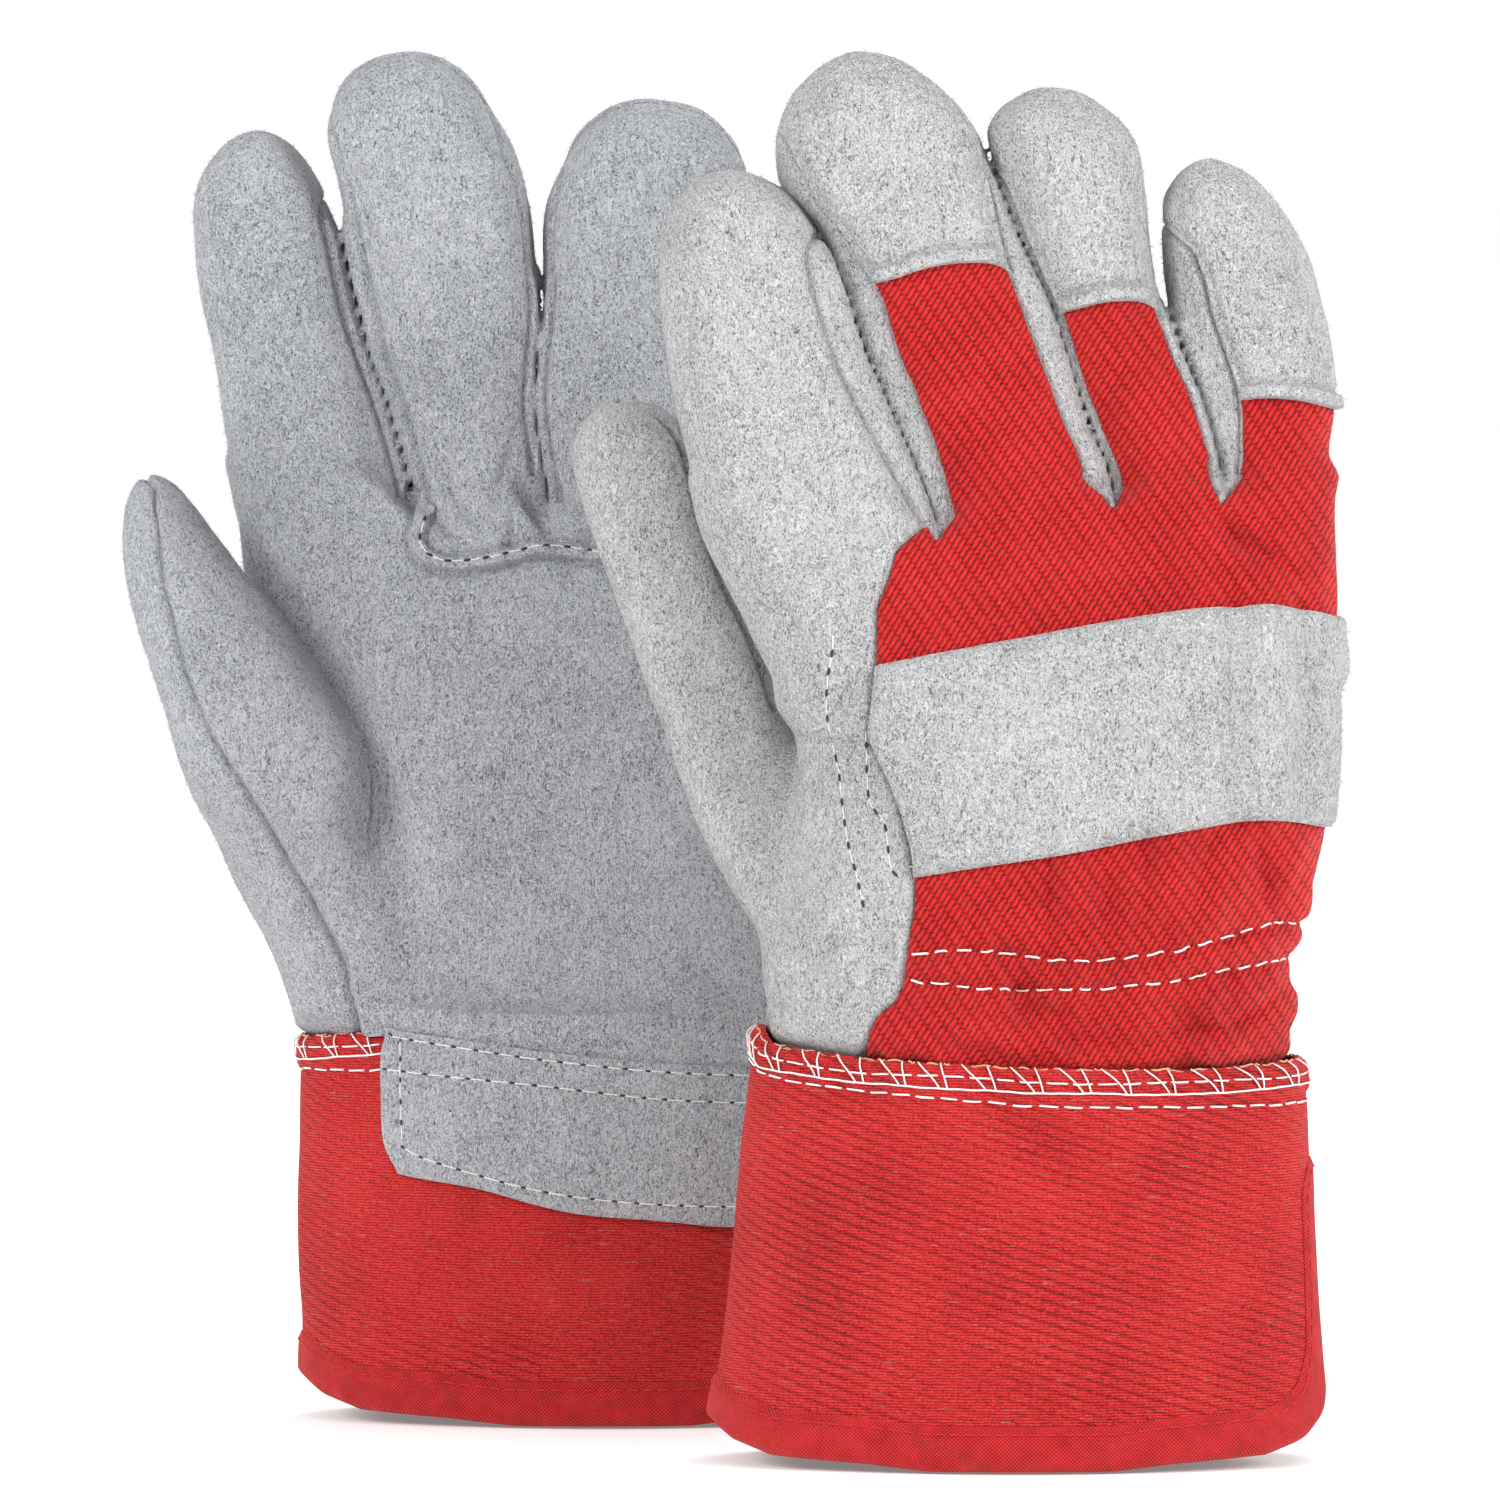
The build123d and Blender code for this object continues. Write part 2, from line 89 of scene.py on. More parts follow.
def vnoise(p, seed=0):
    """Smooth value noise of points (n,3), about -1..1."""
    i = np.floor(p).astype(np.int64)
    f = p - i
    f = f * f * f * (f * (f * 6 - 15) + 10)
    out = np.zeros(len(p))
    for dx in (0, 1):
        for dy in (0, 1):
            for dz in (0, 1):
                h = (i[:, 0] + dx) * 374761393 + (i[:, 1] + dy) * 668265263 + (i[:, 2] + dz) * 2147483647 + seed * 1274126177
                h = (h ^ (h >> 13)) * 1274126177
                h = (h ^ (h >> 16)) & 0xFFFFFF
                v = h / float(0xFFFFFF) * 2 - 1
                w = (f[:, 0] if dx else 1 - f[:, 0]) * (f[:, 1] if dy else 1 - f[:, 1]) * (f[:, 2] if dz else 1 - f[:, 2])
                out += w * v
    return out


def spline(points, closed=False, step=1.2):
    """Centripetal-like Catmull-Rom resampling of 2-D or 3-D points."""
    p = np.array(points, float)
    n = len(p)
    out = []
    for i in range(n if closed else n - 1):
        p0 = p[(i - 1) % n] if (closed or i > 0) else p[0] * 2 - p[1]
        p1, p2 = p[i], p[(i + 1) % n]
        p3 = p[(i + 2) % n] if (closed or i + 2 < n) else p[-1] * 2 - p[-2]
        m = max(2, int(np.linalg.norm(p2 - p1) / step) + 1)
        for t in np.arange(m) / m:
            a = 0.5
            out.append(0.5 * ((2 * p1) + (p2 - p0) * t + (2 * p0 - 5 * p1 + 4 * p2 - p3) * t * t + (3 * p1 - p0 - 3 * p2 + p3) * t ** 3))
    if not closed:
        out.append(p[-1])
    return np.array(out)


def dist2(poly, X, Z):
    """Signed distance (inside positive) of grid points to a closed polygon."""
    P = np.stack([X.ravel(), Z.ravel()], 1)
    a = poly
    b = np.roll(poly, -1, 0)
    best = np.full(len(P), 1e18)
    inside = np.zeros(len(P), bool)
    for (ax, az), (bx, bz) in zip(a, b):
        dx, dz = bx - ax, bz - az
        L = dx * dx + dz * dz + 1e-12
        t = np.clip(((P[:, 0] - ax) * dx + (P[:, 1] - az) * dz) / L, 0, 1)
        best = np.minimum(best, (P[:, 0] - ax - t * dx) ** 2 + (P[:, 1] - az - t * dz) ** 2)
        c = (az > P[:, 1]) != (bz > P[:, 1])
        if dz != 0:
            inside ^= c & (P[:, 0] < (bx - ax) * (P[:, 1] - az) / dz + ax)
    d = np.sqrt(best)
    return np.where(inside, d, -d).reshape(X.shape)


# ------------------------------------------------------------------ outlines
# Each finger: left edge upwards, tip, right edge downwards, as (x, z).
OUT = {
    "right": {
        "index": [(9.2, 138), (5.4, 147), (-0.8, 160.2), (-6.6, 171), (-8.7, 176), (-12.5, 190), (-14.8, 200), (-16.6, 215), (-17.2, 226), (-16.8, 233), (-14, 238.5), (-9.5, 242.6), (-2.9, 243.9),
                  (3, 242), (8.5, 238), (12.6, 232.5), (15, 228), (18.6, 218.5), (21.6, 209), (26, 199), (30, 190), (33.6, 181), (35.4, 175), (37, 160), (36, 138)],
        "middle": [(38, 160), (36.4, 175), (34.6, 181), (31, 190), (27, 199), (22.6, 209), (19.4, 218.5), (15.8, 228), (12.5, 233), (8.5, 237), (6, 241), (5, 247), (5.6, 252), (8, 257.5),
                   (12.5, 262.5), (17, 265.2), (21.2, 266.2), (28, 264.8), (34, 261), (39, 257), (42.5, 253.5), (44.8, 249.5), (46.2, 244.2), (49.6, 235), (52.6, 228.2), (57.2, 218.2),
                   (58.8, 213.6), (61.8, 203.7), (64.9, 194.6), (67.6, 188.4), (69.2, 182), (70, 160)],
        "ring": [(71.2, 160), (70.5, 182), (68.9, 188.4), (66.1, 194.6), (63, 203.7), (60, 213.6), (58.4, 218.2), (53.8, 228.2), (50.9, 235), (47.7, 244), (46.2, 249.5), (46.6, 252.5), (49, 255.6),
                 (53, 258), (57, 258.8), (63, 257.6), (69, 254), (73, 250.6), (75.6, 246), (76.6, 238), (77, 232), (77.8, 226), (79.2, 219.7), (80.8, 215.1), (83.3, 207.5), (86.4, 199.8),
                 (88.6, 192.3), (90.3, 184.5), (91.5, 160)],
        "little": [(93, 146), (92.6, 160), (91.5, 184.5), (89.8, 192.3), (87.2, 200.6), (83.6, 210.6), (81.5, 216.7), (80, 224.4), (79.6, 230.5), (80, 236), (82, 240.6), (85, 243.6), (89.2, 245),
                   (94, 243.4), (98.5, 240.5), (103, 235), (106.5, 229), (109.3, 221.5), (111.2, 213), (112.6, 205), (113, 197.5), (111.8, 190), (111.9, 180), (112.2, 160), (112.8, 146)],
        "thumb": [(8, 84), (2, 96), (-1.5, 101), (-9.7, 116), (-16.4, 133.6), (-22.8, 151), (-29, 168.5), (-34.2, 186), (-33.6, 192), (-30, 197), (-25.5, 198.8), (-20, 198),
                  (-15.2, 195.4), (-11.6, 190.7), (-9, 182), (-4.8, 168.5), (2.9, 151), (9.7, 131.7), (16, 116), (22, 100), (26, 84)],
        "hand": [(3.6, 40), (3.4, 77), (3.1, 91), (6, 104), (8.7, 118), (9.3, 132), (5.6, 146), (-1, 160.7), (-7, 172), (-10, 182), (-14, 210), (112, 210), (112.2, 180), (112.6, 165),
                 (113, 150), (113.2, 133.6), (112, 118), (108.2, 104), (104.4, 92), (104.4, 77), (104.4, 40)],
    },
    "left": {
        "index": [(-89.4, 138), (-95.2, 152), (-99.4, 162), (-101.4, 177), (-103.4, 185), (-105.3, 197), (-107.2, 207), (-109.4, 217), (-111.3, 230), (-111.5, 237), (-109.8, 243), (-106, 248), (-101.5, 250.8), (-96.9, 251.4),
                  (-91.5, 248.6), (-87.4, 243.8), (-84.8, 238.6), (-82.4, 229), (-79.9, 217), (-76.8, 207), (-73, 197), (-69.6, 186), (-67.4, 177), (-66, 160), (-66, 138)],
        "middle": [(-65, 160), (-66.4, 177), (-68.4, 186), (-71.4, 197), (-74.8, 207), (-76.9, 217), (-79.6, 228), (-82.4, 240), (-84.3, 247), (-84.4, 252), (-82, 258.4), (-76, 264), (-67.9, 266.3),
                   (-61, 264.4), (-55.6, 260), (-51.6, 254.6), (-48, 248), (-45.4, 240), (-43, 229), (-42, 217), (-42.6, 207), (-43.4, 197), (-42, 186), (-40.8, 176), (-40, 160)],
        "ring": [(-38.6, 160), (-39.6, 176), (-41, 186), (-42.6, 197), (-42, 207), (-41, 217), (-41.6, 228), (-40.6, 236), (-37.8, 244), (-34.4, 250), (-28, 254.6), (-20, 256.4), (-11, 254.6), (-4.6, 250.4), (-0.8, 245),
                 (0.2, 238), (-0.6, 226), (-2.4, 210), (-5, 197), (-7.6, 184), (-8.6, 172), (-9, 160)],
        "little": [(-7.6, 146), (-7.2, 160), (-7, 172), (-6, 184), (-3.4, 195), (0.6, 207), (4, 219), (6.8, 228), (10.6, 234.6), (16, 238), (21.6, 236.8), (26, 232.4), (28.6, 226), (28.4, 216), (26.4, 205),
                   (22.6, 190), (19, 176), (17.8, 160), (17.4, 146)],
        "thumb": [(-86, 62), (-89.6, 70), (-93.3, 81), (-96.5, 89), (-101, 97), (-107, 111), (-112, 121), (-117, 137), (-123.2, 157), (-124.9, 168), (-124.6, 175), (-122.6, 180.6),
                  (-119.4, 183), (-115, 181.6), (-109.8, 176.4), (-101, 165), (-93.8, 155.7), (-87.9, 147.3), (-82.9, 139.7), (-79.5, 134.6), (-77, 130), (-75.8, 124), (-75.6, 117),
                  (-74.8, 110), (-71.6, 102), (-66, 90), (-62, 76), (-62, 62)],
        "hand": [(-87.6, 40), (-87.8, 77), (-87.8, 92), (-86.6, 106), (-86.4, 118), (-89.4, 138), (-95.2, 152), (-99.6, 162), (-101, 172), (-102, 182), (-105, 210), (22, 210), (18, 182),
                 (17.6, 165), (17.4, 148), (15.6, 132), (13, 118), (9.6, 104), (9.6, 92), (12, 77), (12.6, 40)],
    },
}
# depth offset towards the palm by height, half depth by height, edge radius
DEP = {
    "right": {
        "index": ([(160, 0), (185, -1.5), (240, -5)], [(160, 15.5), (178, 15), (205, 13.6), (244, 12.6)], 12.5),
        "middle": ([(160, 0), (266, 0.5)], [(160, 15.5), (180, 14.6), (215, 13.6), (266, 12.6)], 12.5),
        "ring": ([(160, 0.5), (259, 3.5)], [(160, 15), (182, 14), (259, 12.4)], 12.0),
        "little": ([(160, 1), (185, 3), (245, 7)], [(160, 14.5), (184, 13), (245, 11.2)], 10.5),
        "thumb": ([(84, 4), (104, 8), (120, 14), (136, 20), (152, 22), (198, 21)], [(84, 15), (104, 13), (130, 12), (198, 11)], 10.5),
        "hand": ([(60, 0), (200, 0)], [(60, 27.5), (80, 27), (92, 25.5), (110, 26.5), (134, 25), (152, 22), (166, 18), (176, 15.6), (186, 14.5)], 36.0),
    },
    "left": {
        "index": ([(160, 0), (185, -1.5), (250, -3)], [(160, 15.5), (178, 15), (205, 13.6), (251, 12.6)], 12.5),
        "middle": ([(160, 0), (200, 1.0), (266, 3.5)], [(160, 15.5), (180, 14.6), (215, 13.8), (266, 12.6)], 12.5),
        "ring": ([(160, 0.5), (256, 2)], [(160, 15), (182, 14), (256, 12.4)], 12.0),
        "little": ([(160, 1), (185, 3), (240, 6)], [(160, 14.5), (184, 13), (240, 11.2)], 10.5),
        "thumb": ([(62, 2), (84, 5), (104, 11), (122, 18), (140, 21), (183, 20)], [(62, 19), (84, 18), (104, 15.5), (130, 14), (160, 12.8), (183, 11)], 12.0),
        "hand": ([(60, 0), (200, 0)], [(60, 27.5), (80, 27), (92, 25.5), (110, 26.5), (134, 25), (152, 22), (166, 18), (176, 15.6), (186, 14.5)], 36.0),
    },
}
TOPLINE = {
    "right": [(-40, 184), (0, 184), (24, 181), (35.9, 173.6), (46, 181), (60, 184), (69.9, 179.6), (80, 185), (91.5, 181.8), (102, 186), (120, 186)],
    "left": [(-130, 186), (-84, 185), (-74, 181), (-66.9, 175.6), (-58, 182), (-48, 180), (-40.2, 173.8), (-30, 180), (-16, 177), (-7.8, 170.2), (2, 176), (14, 178), (40, 178)],
}
Y0 = {"right": -50.0, "left": 50.0}
PALM = {"right": 1.0, "left": -1.0}
FINGERS = ("index", "middle", "ring", "little")
SEPS = {
    "right": [[(150, 36.5), (175, 35.9), (181, 34.1), (190, 30.5), (199, 26.5), (209, 22.1), (218.5, 19), (228, 15.4), (234, 11.5), (244, 4), (300, -20)],
              [(150, 70.4), (182, 69.85), (188.4, 68.25), (194.6, 65.5), (203.7, 62.4), (213.6, 59.4), (218.2, 57.8), (228.2, 53.2), (235, 50.2), (244, 47), (249.5, 45.5), (300, 36)],
              [(150, 92), (184.5, 90.9), (192.3, 89.2), (200, 86.8), (207.5, 84), (216, 81), (224, 79), (240, 78.4), (300, 77)]],
    "left": [[(150, -65.5), (177, -66.9), (186, -69), (197, -72.2), (207, -75.8), (217, -78.4), (230, -81.6), (240, -84.6), (300, -88)],
             [(150, -39.4), (176, -40.2), (186, -41.5), (197, -43), (207, -42.3), (217, -41.5), (228, -42.3), (240, -43), (300, -44)],
             [(150, -8), (172, -7.8), (184, -6.8), (197, -4.2), (207, -0.9), (219, 1.8), (230, 4), (300, 8)]],
}
# seam distance in from the left / right silhouette, by height: dorsal then palmar
SEAM = {
    "right": {
        "index": {"dL": None, "dR": [(170, 0.4), (178, 2.7), (184, 3.8), (195, 4.7), (205, 5.6), (218, 5.8), (230, 4.2), (238, 2.0)], "pL": None, "pR": 2.6},
        "middle": {"dL": [(171, 1.0), (178.5, 3.3), (185, 4), (192, 4.8), (207, 5.6), (219, 6.2), (228, 4.6), (236, 5.4), (241, 5.8), (246, 3.8), (252, 1.4)],
                   "dR": [(178, 0.4), (181, 2.9), (186, 4.1), (192, 3.6), (200, 3.8), (208, 4.4), (215, 5), (224, 4.4), (230, 3.3), (238, 1.6), (246, 0.8)], "pL": 3.0, "pR": 3.0},
        "ring": {"dL": 0.9, "dR": [(178, 0.3), (184, 0.9), (192, 1.0), (205, 1.4), (212, 1.3), (220, 0.8), (240, 0.8)], "pL": 2.8, "pR": 2.8},
        "little": {"dL": [(179, 1.0), (183, 2.2), (188, 3.6), (196, 6), (202, 7.4), (215, 7.8), (222, 7.8), (229, 6.3), (235, 4.2), (240, 1.4)], "dR": None, "pL": 2.6, "pR": None},
    },
    "left": {
        "index": {"dL": None, "dR": 3.0, "pL": None, "pR": 1.6},
        "middle": {"dL": 3.0, "dR": 3.0, "pL": 2.0, "pR": 1.4},
        "ring": {"dL": 3.0, "dR": 3.0, "pL": 1.4, "pR": 2.0},
        "little": {"dL": 3.0, "dR": None, "pL": 2.0, "pR": None},
    },
}
CAPLINE = {
    "right": {"middle": [(20, 220.8), (24.1, 222), (28.6, 223.2), (33.3, 224.8), (39.4, 225.9), (45.5, 225.9), (49, 224.8), (52, 223), (58, 220)],
              "ring": [(55, 215), (58.8, 215.9), (63.1, 217.1), (68.4, 218.4), (74.5, 218.6), (77.6, 217.8), (80, 216.4), (84, 214)],
              "little": [(90, 199.2), (94.8, 199.5), (99.8, 199.9), (105.2, 199.5), (108.9, 198.7), (113.9, 197.2), (118, 195.5)]},
    "left": {"middle": [(-90, 222), (-60, 225.6), (-40, 224)], "ring": [(-45, 217), (-22, 219), (0, 217)], "little": [(-5, 197), (14, 198.5), (30, 198)]},
}
STRIP = {
    "right": [(60, 22), (73.5, 22), (78.5, 22.8), (81.8, 24.5), (84.3, 27.8), (87.6, 29.4), (91.7, 29.9), (97.5, 30.7), (102.5, 31.5), (108.3, 31.5), (113.2, 31.1), (119.9, 29.4),
              (126.5, 27), (131.4, 24.5), (135.5, 22.8), (138, 23.2), (149.6, 24.1), (160.3, 24.5), (165.4, 26.7), (170.8, 28.3), (173.9, 31.7), (176, 34.6), (178.5, 37), (200, 45)],
    "left": [(60, -68), (78, -67), (84, -63.5), (98, -60.5), (110, -60.5), (125, -64), (136, -67.5), (150, -68), (160, -68.5), (170, -70), (174, -68.5), (177, -67), (200, -60)],
}
STRAP_TOP = {"right": [(20, 148.2), (24.1, 148.8), (36.1, 151.2), (52.6, 154.1), (69.1, 157), (81.6, 159.1), (94, 160.1), (106.4, 159.5), (113.4, 157.6), (120, 156)],
             "left": [(-75, 150), (-56, 154), (-38, 157.4), (-14, 160), (4, 160), (20, 157)]}
STRAP_LOW = {"right": [(20, 106), (31.5, 108.3), (44.3, 110.3), (60.9, 112.8), (77.4, 116.1), (89.8, 118.2), (98.1, 119.2), (104.7, 118.6), (112.2, 116.9), (120, 116)],
             "left": [(-75, 107), (-50, 111), (-30, 115), (-14, 118), (4, 119), (20, 117)]}
SHIR = {"right": ([(20, 93.5), (31.5, 93.5), (42.7, 94.3), (53, 93), (63.4, 92.1), (79.9, 93.8), (94, 97.1), (101, 98.8), (108, 98.4)],
                  [(20, 88.4), (31.5, 88.4), (47, 86.9), (60, 87), (76, 87.7), (94, 90.5), (108, 91.9)]),
        "left": ([(-75, 93.5), (-55, 94), (-35, 92.4), (-15, 94), (12, 97.5)], [(-75, 88), (-50, 87), (-25, 87.6), (12, 91)])}
GUNN = {"right": [(30, 188), (35.6, 176), (35.2, 170), (37, 166.6), (41, 164.4), (50, 164), (64, 165.6), (78, 168.6), (86, 171), (90.2, 176), (92.5, 190)],
        "left": [(-71, 190), (-66.6, 178), (-67.7, 170.5), (-66.4, 166.8), (-63.5, 164.6), (-59.3, 163.7), (-52.6, 164.3), (-45.8, 165.8), (-40.8, 166.8), (-33.2, 166), (-22, 164), (-13, 163), (-9, 165), (-7.4, 170), (-5.5, 186)]}
THUMBSEAM = {"left": [(183.5, -118.5), (180.9, -117.4), (167.5, -117), (160.7, -116.1), (153.1, -114), (144.7, -111.9), (137.2, -109), (130.4, -106), (123.7, -101.4), (115.3, -96.3), (106, -91.3),
                      (99.3, -87.1), (92.5, -83.7), (85.8, -80.3), (79.9, -79.5), (73.2, -78.2), (60, -78)],
             "right": [(199, -25), (196, -24.6), (186, -24), (168, -19), (151, -12), (136, -6), (122, 0.5), (110, 5), (98, 9), (84, 12), (60, 13)]}
BLENDS = {}
# neighbouring fingers lie against each other up to these heights
CLOSE = {"right": [234, 250, 222], "left": [238, 226, 222]}
# cuff ellipses: height, centre x, half width, half depth
CUFF = {"right": [(-5.6, 52.0, 59.8, 33.2), (76.0, 53.8, 53.3, 30.0)],
        "left": [(-5.6, -29.6, 59.8, 33.2), (76.0, -37.5, 53.3, 30.0)]}
# true height of the top edge of the cuff along x, of the row of stitches under it
CUFF_EDGE = {"right": [(-8, 79), (0.5, 78.4), (3, 75.6), (8, 74.8), (22, 73.4), (52, 71.9), (86, 71.2), (100, 71.8), (107, 72.2)],
             "left": [(-91.2, 70.3), (-86, 70.9), (-72, 72.7), (-40, 73), (8, 72.6), (16, 71.6)]}
CUFF_ROW = {"right": [(-8, 5.4), (0.5, 5.4), (8, 6.1), (26, 6.2), (53, 7.2), (86, 7.2), (108, 8.2)],
            "left": [(-91, 6.4), (-72, 8.0), (-40, 7.4), (16, 7.0)]}
PATCH = [(-72.2, 78), (-72.2, 72.1), (-73.3, 67), (-73.3, 55.3), (-72.6, 49.1), (-70.2, 44.5), (-68.6, 43.3), (-53.9, 40.9), (-42.2, 37.8), (-32.8, 35.9), (-18.8, 34.7), (-4.4, 33.2),
         (5, 33.6), (9.5, 36), (11, 42), (11, 60), (10, 78)]


def tongue(side):
    """Outline of the leather tongue on the cuff; the right glove mirrors the left."""
    if side == "left":
        return [(x, z + 0.6) for x, z in PATCH]
    a, b = 0.5 * (CUFF["left"][0][1] + CUFF["left"][1][1]), 0.5 * (CUFF["right"][0][1] + CUFF["right"][1][1])
    return [(b - (x - a), z + 0.6) for x, z in PATCH][::-1]


# ------------------------------------------------------------------ the skin
def primitive(side, name, X, Z, Yc):
    """Value of one pillow-shaped part, negative inside, roughly in mm."""
    poly = spline(OUT[side][name], True, 1.5)
    m = 9.0
    ix = np.where((X[:, 0] > poly[:, 0].min() - m) & (X[:, 0] < poly[:, 0].max() + m))[0]
    iz = np.where((Z[0] > poly[:, 1].min() - m) & (Z[0] < poly[:, 1].max() + m))[0]
    out = np.full(X.shape + (len(Yc),), 30.0, np.float32)
    sl = (slice(ix[0], ix[-1] + 1), slice(iz[0], iz[-1] + 1))
    D = dist2(poly, X[sl], Z[sl])
    off, dep, R = DEP[side][name]
    zc = Z[0][sl[1]]
    yc = np.interp(zc, [r[0] for r in off], [r[1] for r in off])[None, :]
    T = np.interp(zc, [r[0] for r in dep], [r[1] for r in dep])[None, :]
    u = np.clip(R - D, 0, None) / R
    p = 2.3
    e = (u ** p).astype(np.float32)
    w = (PALM[side] * (Yc[None, None, :]) - yc[:, :, None]).astype(np.float32)
    q = (e[:, :, None] + (np.abs(w) / T[:, :, None].astype(np.float32)) ** np.float32(p)) ** np.float32(1 / p)
    out[sl] = (q - 1) * (np.minimum(R, T)[:, :, None] * 0.9).astype(np.float32)
    return out


def surface_nets(F, o, h):
    """Quads of the zero level of grid F (inside negative)."""
    s = F < 0
    nx, ny, nz = F.shape
    cnt = np.zeros((nx - 1, ny - 1, nz - 1), np.int16)
    pos = np.zeros((nx - 1, ny - 1, nz - 1, 3), np.float64)
    for ax in range(3):
        sl0 = [slice(None)] * 3
        sl1 = [slice(None)] * 3
        sl0[ax] = slice(0, -1)
        sl1[ax] = slice(1, None)
        a, b = F[tuple(sl0)], F[tuple(sl1)]
        cr = (a < 0) != (b < 0)
        t = np.where(cr, a / np.where(cr, a - b, 1), 0)
        oth = [k for k in range(3) if k != ax]
        for d0 in (0, 1):
            for d1 in (0, 1):
                sel = [slice(None)] * 3
                sel[oth[0]] = slice(d0, d0 + F.shape[oth[0]] - 1)
                sel[oth[1]] = slice(d1, d1 + F.shape[oth[1]] - 1)
                c = cr[tuple(sel)]
                cnt += c
                pos[..., ax] += np.where(c, t[tuple(sel)], 0)
                pos[..., oth[0]] += c * d0
                pos[..., oth[1]] += c * d1
    act = cnt > 0
    idx = np.full(cnt.shape, -1, np.int64)
    idx[act] = np.arange(act.sum())
    I = np.argwhere(act)
    V = o + h * (I + pos[act] / cnt[act][:, None])
    quads = []
    for ax in range(3):
        sl0 = [slice(1, -1)] * 3
        sl1 = [slice(1, -1)] * 3
        sl0[ax] = slice(0, -1)
        sl1[ax] = slice(1, None)
        a, b = s[tuple(sl0)], s[tuple(sl1)]
        for flip in (0, 1):
            m = (a & ~b) if not flip else (~a & b)
            e = np.argwhere(m)
            if not len(e):
                continue
            base = e.copy()
            oth = [(ax + 1) % 3, (ax + 2) % 3]
            for k in oth:
                base[:, k] += 1
            q = []
            for d0, d1 in ((0, 0), (1, 0), (1, 1), (0, 1)):
                c = base.copy()
                c[:, oth[0]] -= d0
                c[:, oth[1]] -= d1
                q.append(idx[c[:, 0], c[:, 1], c[:, 2]])
            q = np.stack(q, 1)
            if flip:
                q = q[:, ::-1]
            quads.append(q)
    Q = np.concatenate(quads)
    Q = Q[(Q >= 0).all(1)]
    return V, Q


def trilin(F, o, h, P):
    g = (P - o) / h
    g = np.clip(g, 0, np.array(F.shape) - 1.001)
    i = g.astype(int)
    f = g - i
    out = 0
    for dx in (0, 1):
        for dy in (0, 1):
            for dz in (0, 1):
                w = (f[:, 0] if dx else 1 - f[:, 0]) * (f[:, 1] if dy else 1 - f[:, 1]) * (f[:, 2] if dz else 1 - f[:, 2])
                out = out + w * F[i[:, 0] + dx, i[:, 1] + dy, i[:, 2] + dz]
    return out


def grad(F, o, h, P):
    e = 0.5 * h
    return np.stack([(trilin(F, o, h, P + d) - trilin(F, o, h, P - d)) / (2 * e) for d in np.eye(3) * e], 1)


def vert_normals(V, T):
    a, b, c = V[T[:, 0]], V[T[:, 1]], V[T[:, 2]]
    n = np.cross(b - a, c - a)
    N = np.stack([np.bincount(T.ravel(), np.repeat(n[:, k], 3), len(V)) for k in range(3)], 1)
    return N / np.maximum(np.linalg.norm(N, axis=1), 1e-12)[:, None]


def relax(V, E, it, F, o, h):
    for _ in range(it):
        S = np.stack([np.bincount(E[:, 0], V[E[:, 1], k], len(V)) + np.bincount(E[:, 1], V[E[:, 0], k], len(V)) for k in range(3)], 1)
        n = np.bincount(E.ravel(), minlength=len(V))
        V = V + 0.5 * (S / np.maximum(n, 1)[:, None] - V)
        for _ in range(2):
            f = trilin(F, o, h, V)
            g = grad(F, o, h, V)
            V = V - 0.9 * (f / np.maximum((g * g).sum(1), 0.05))[:, None] * g
    return V


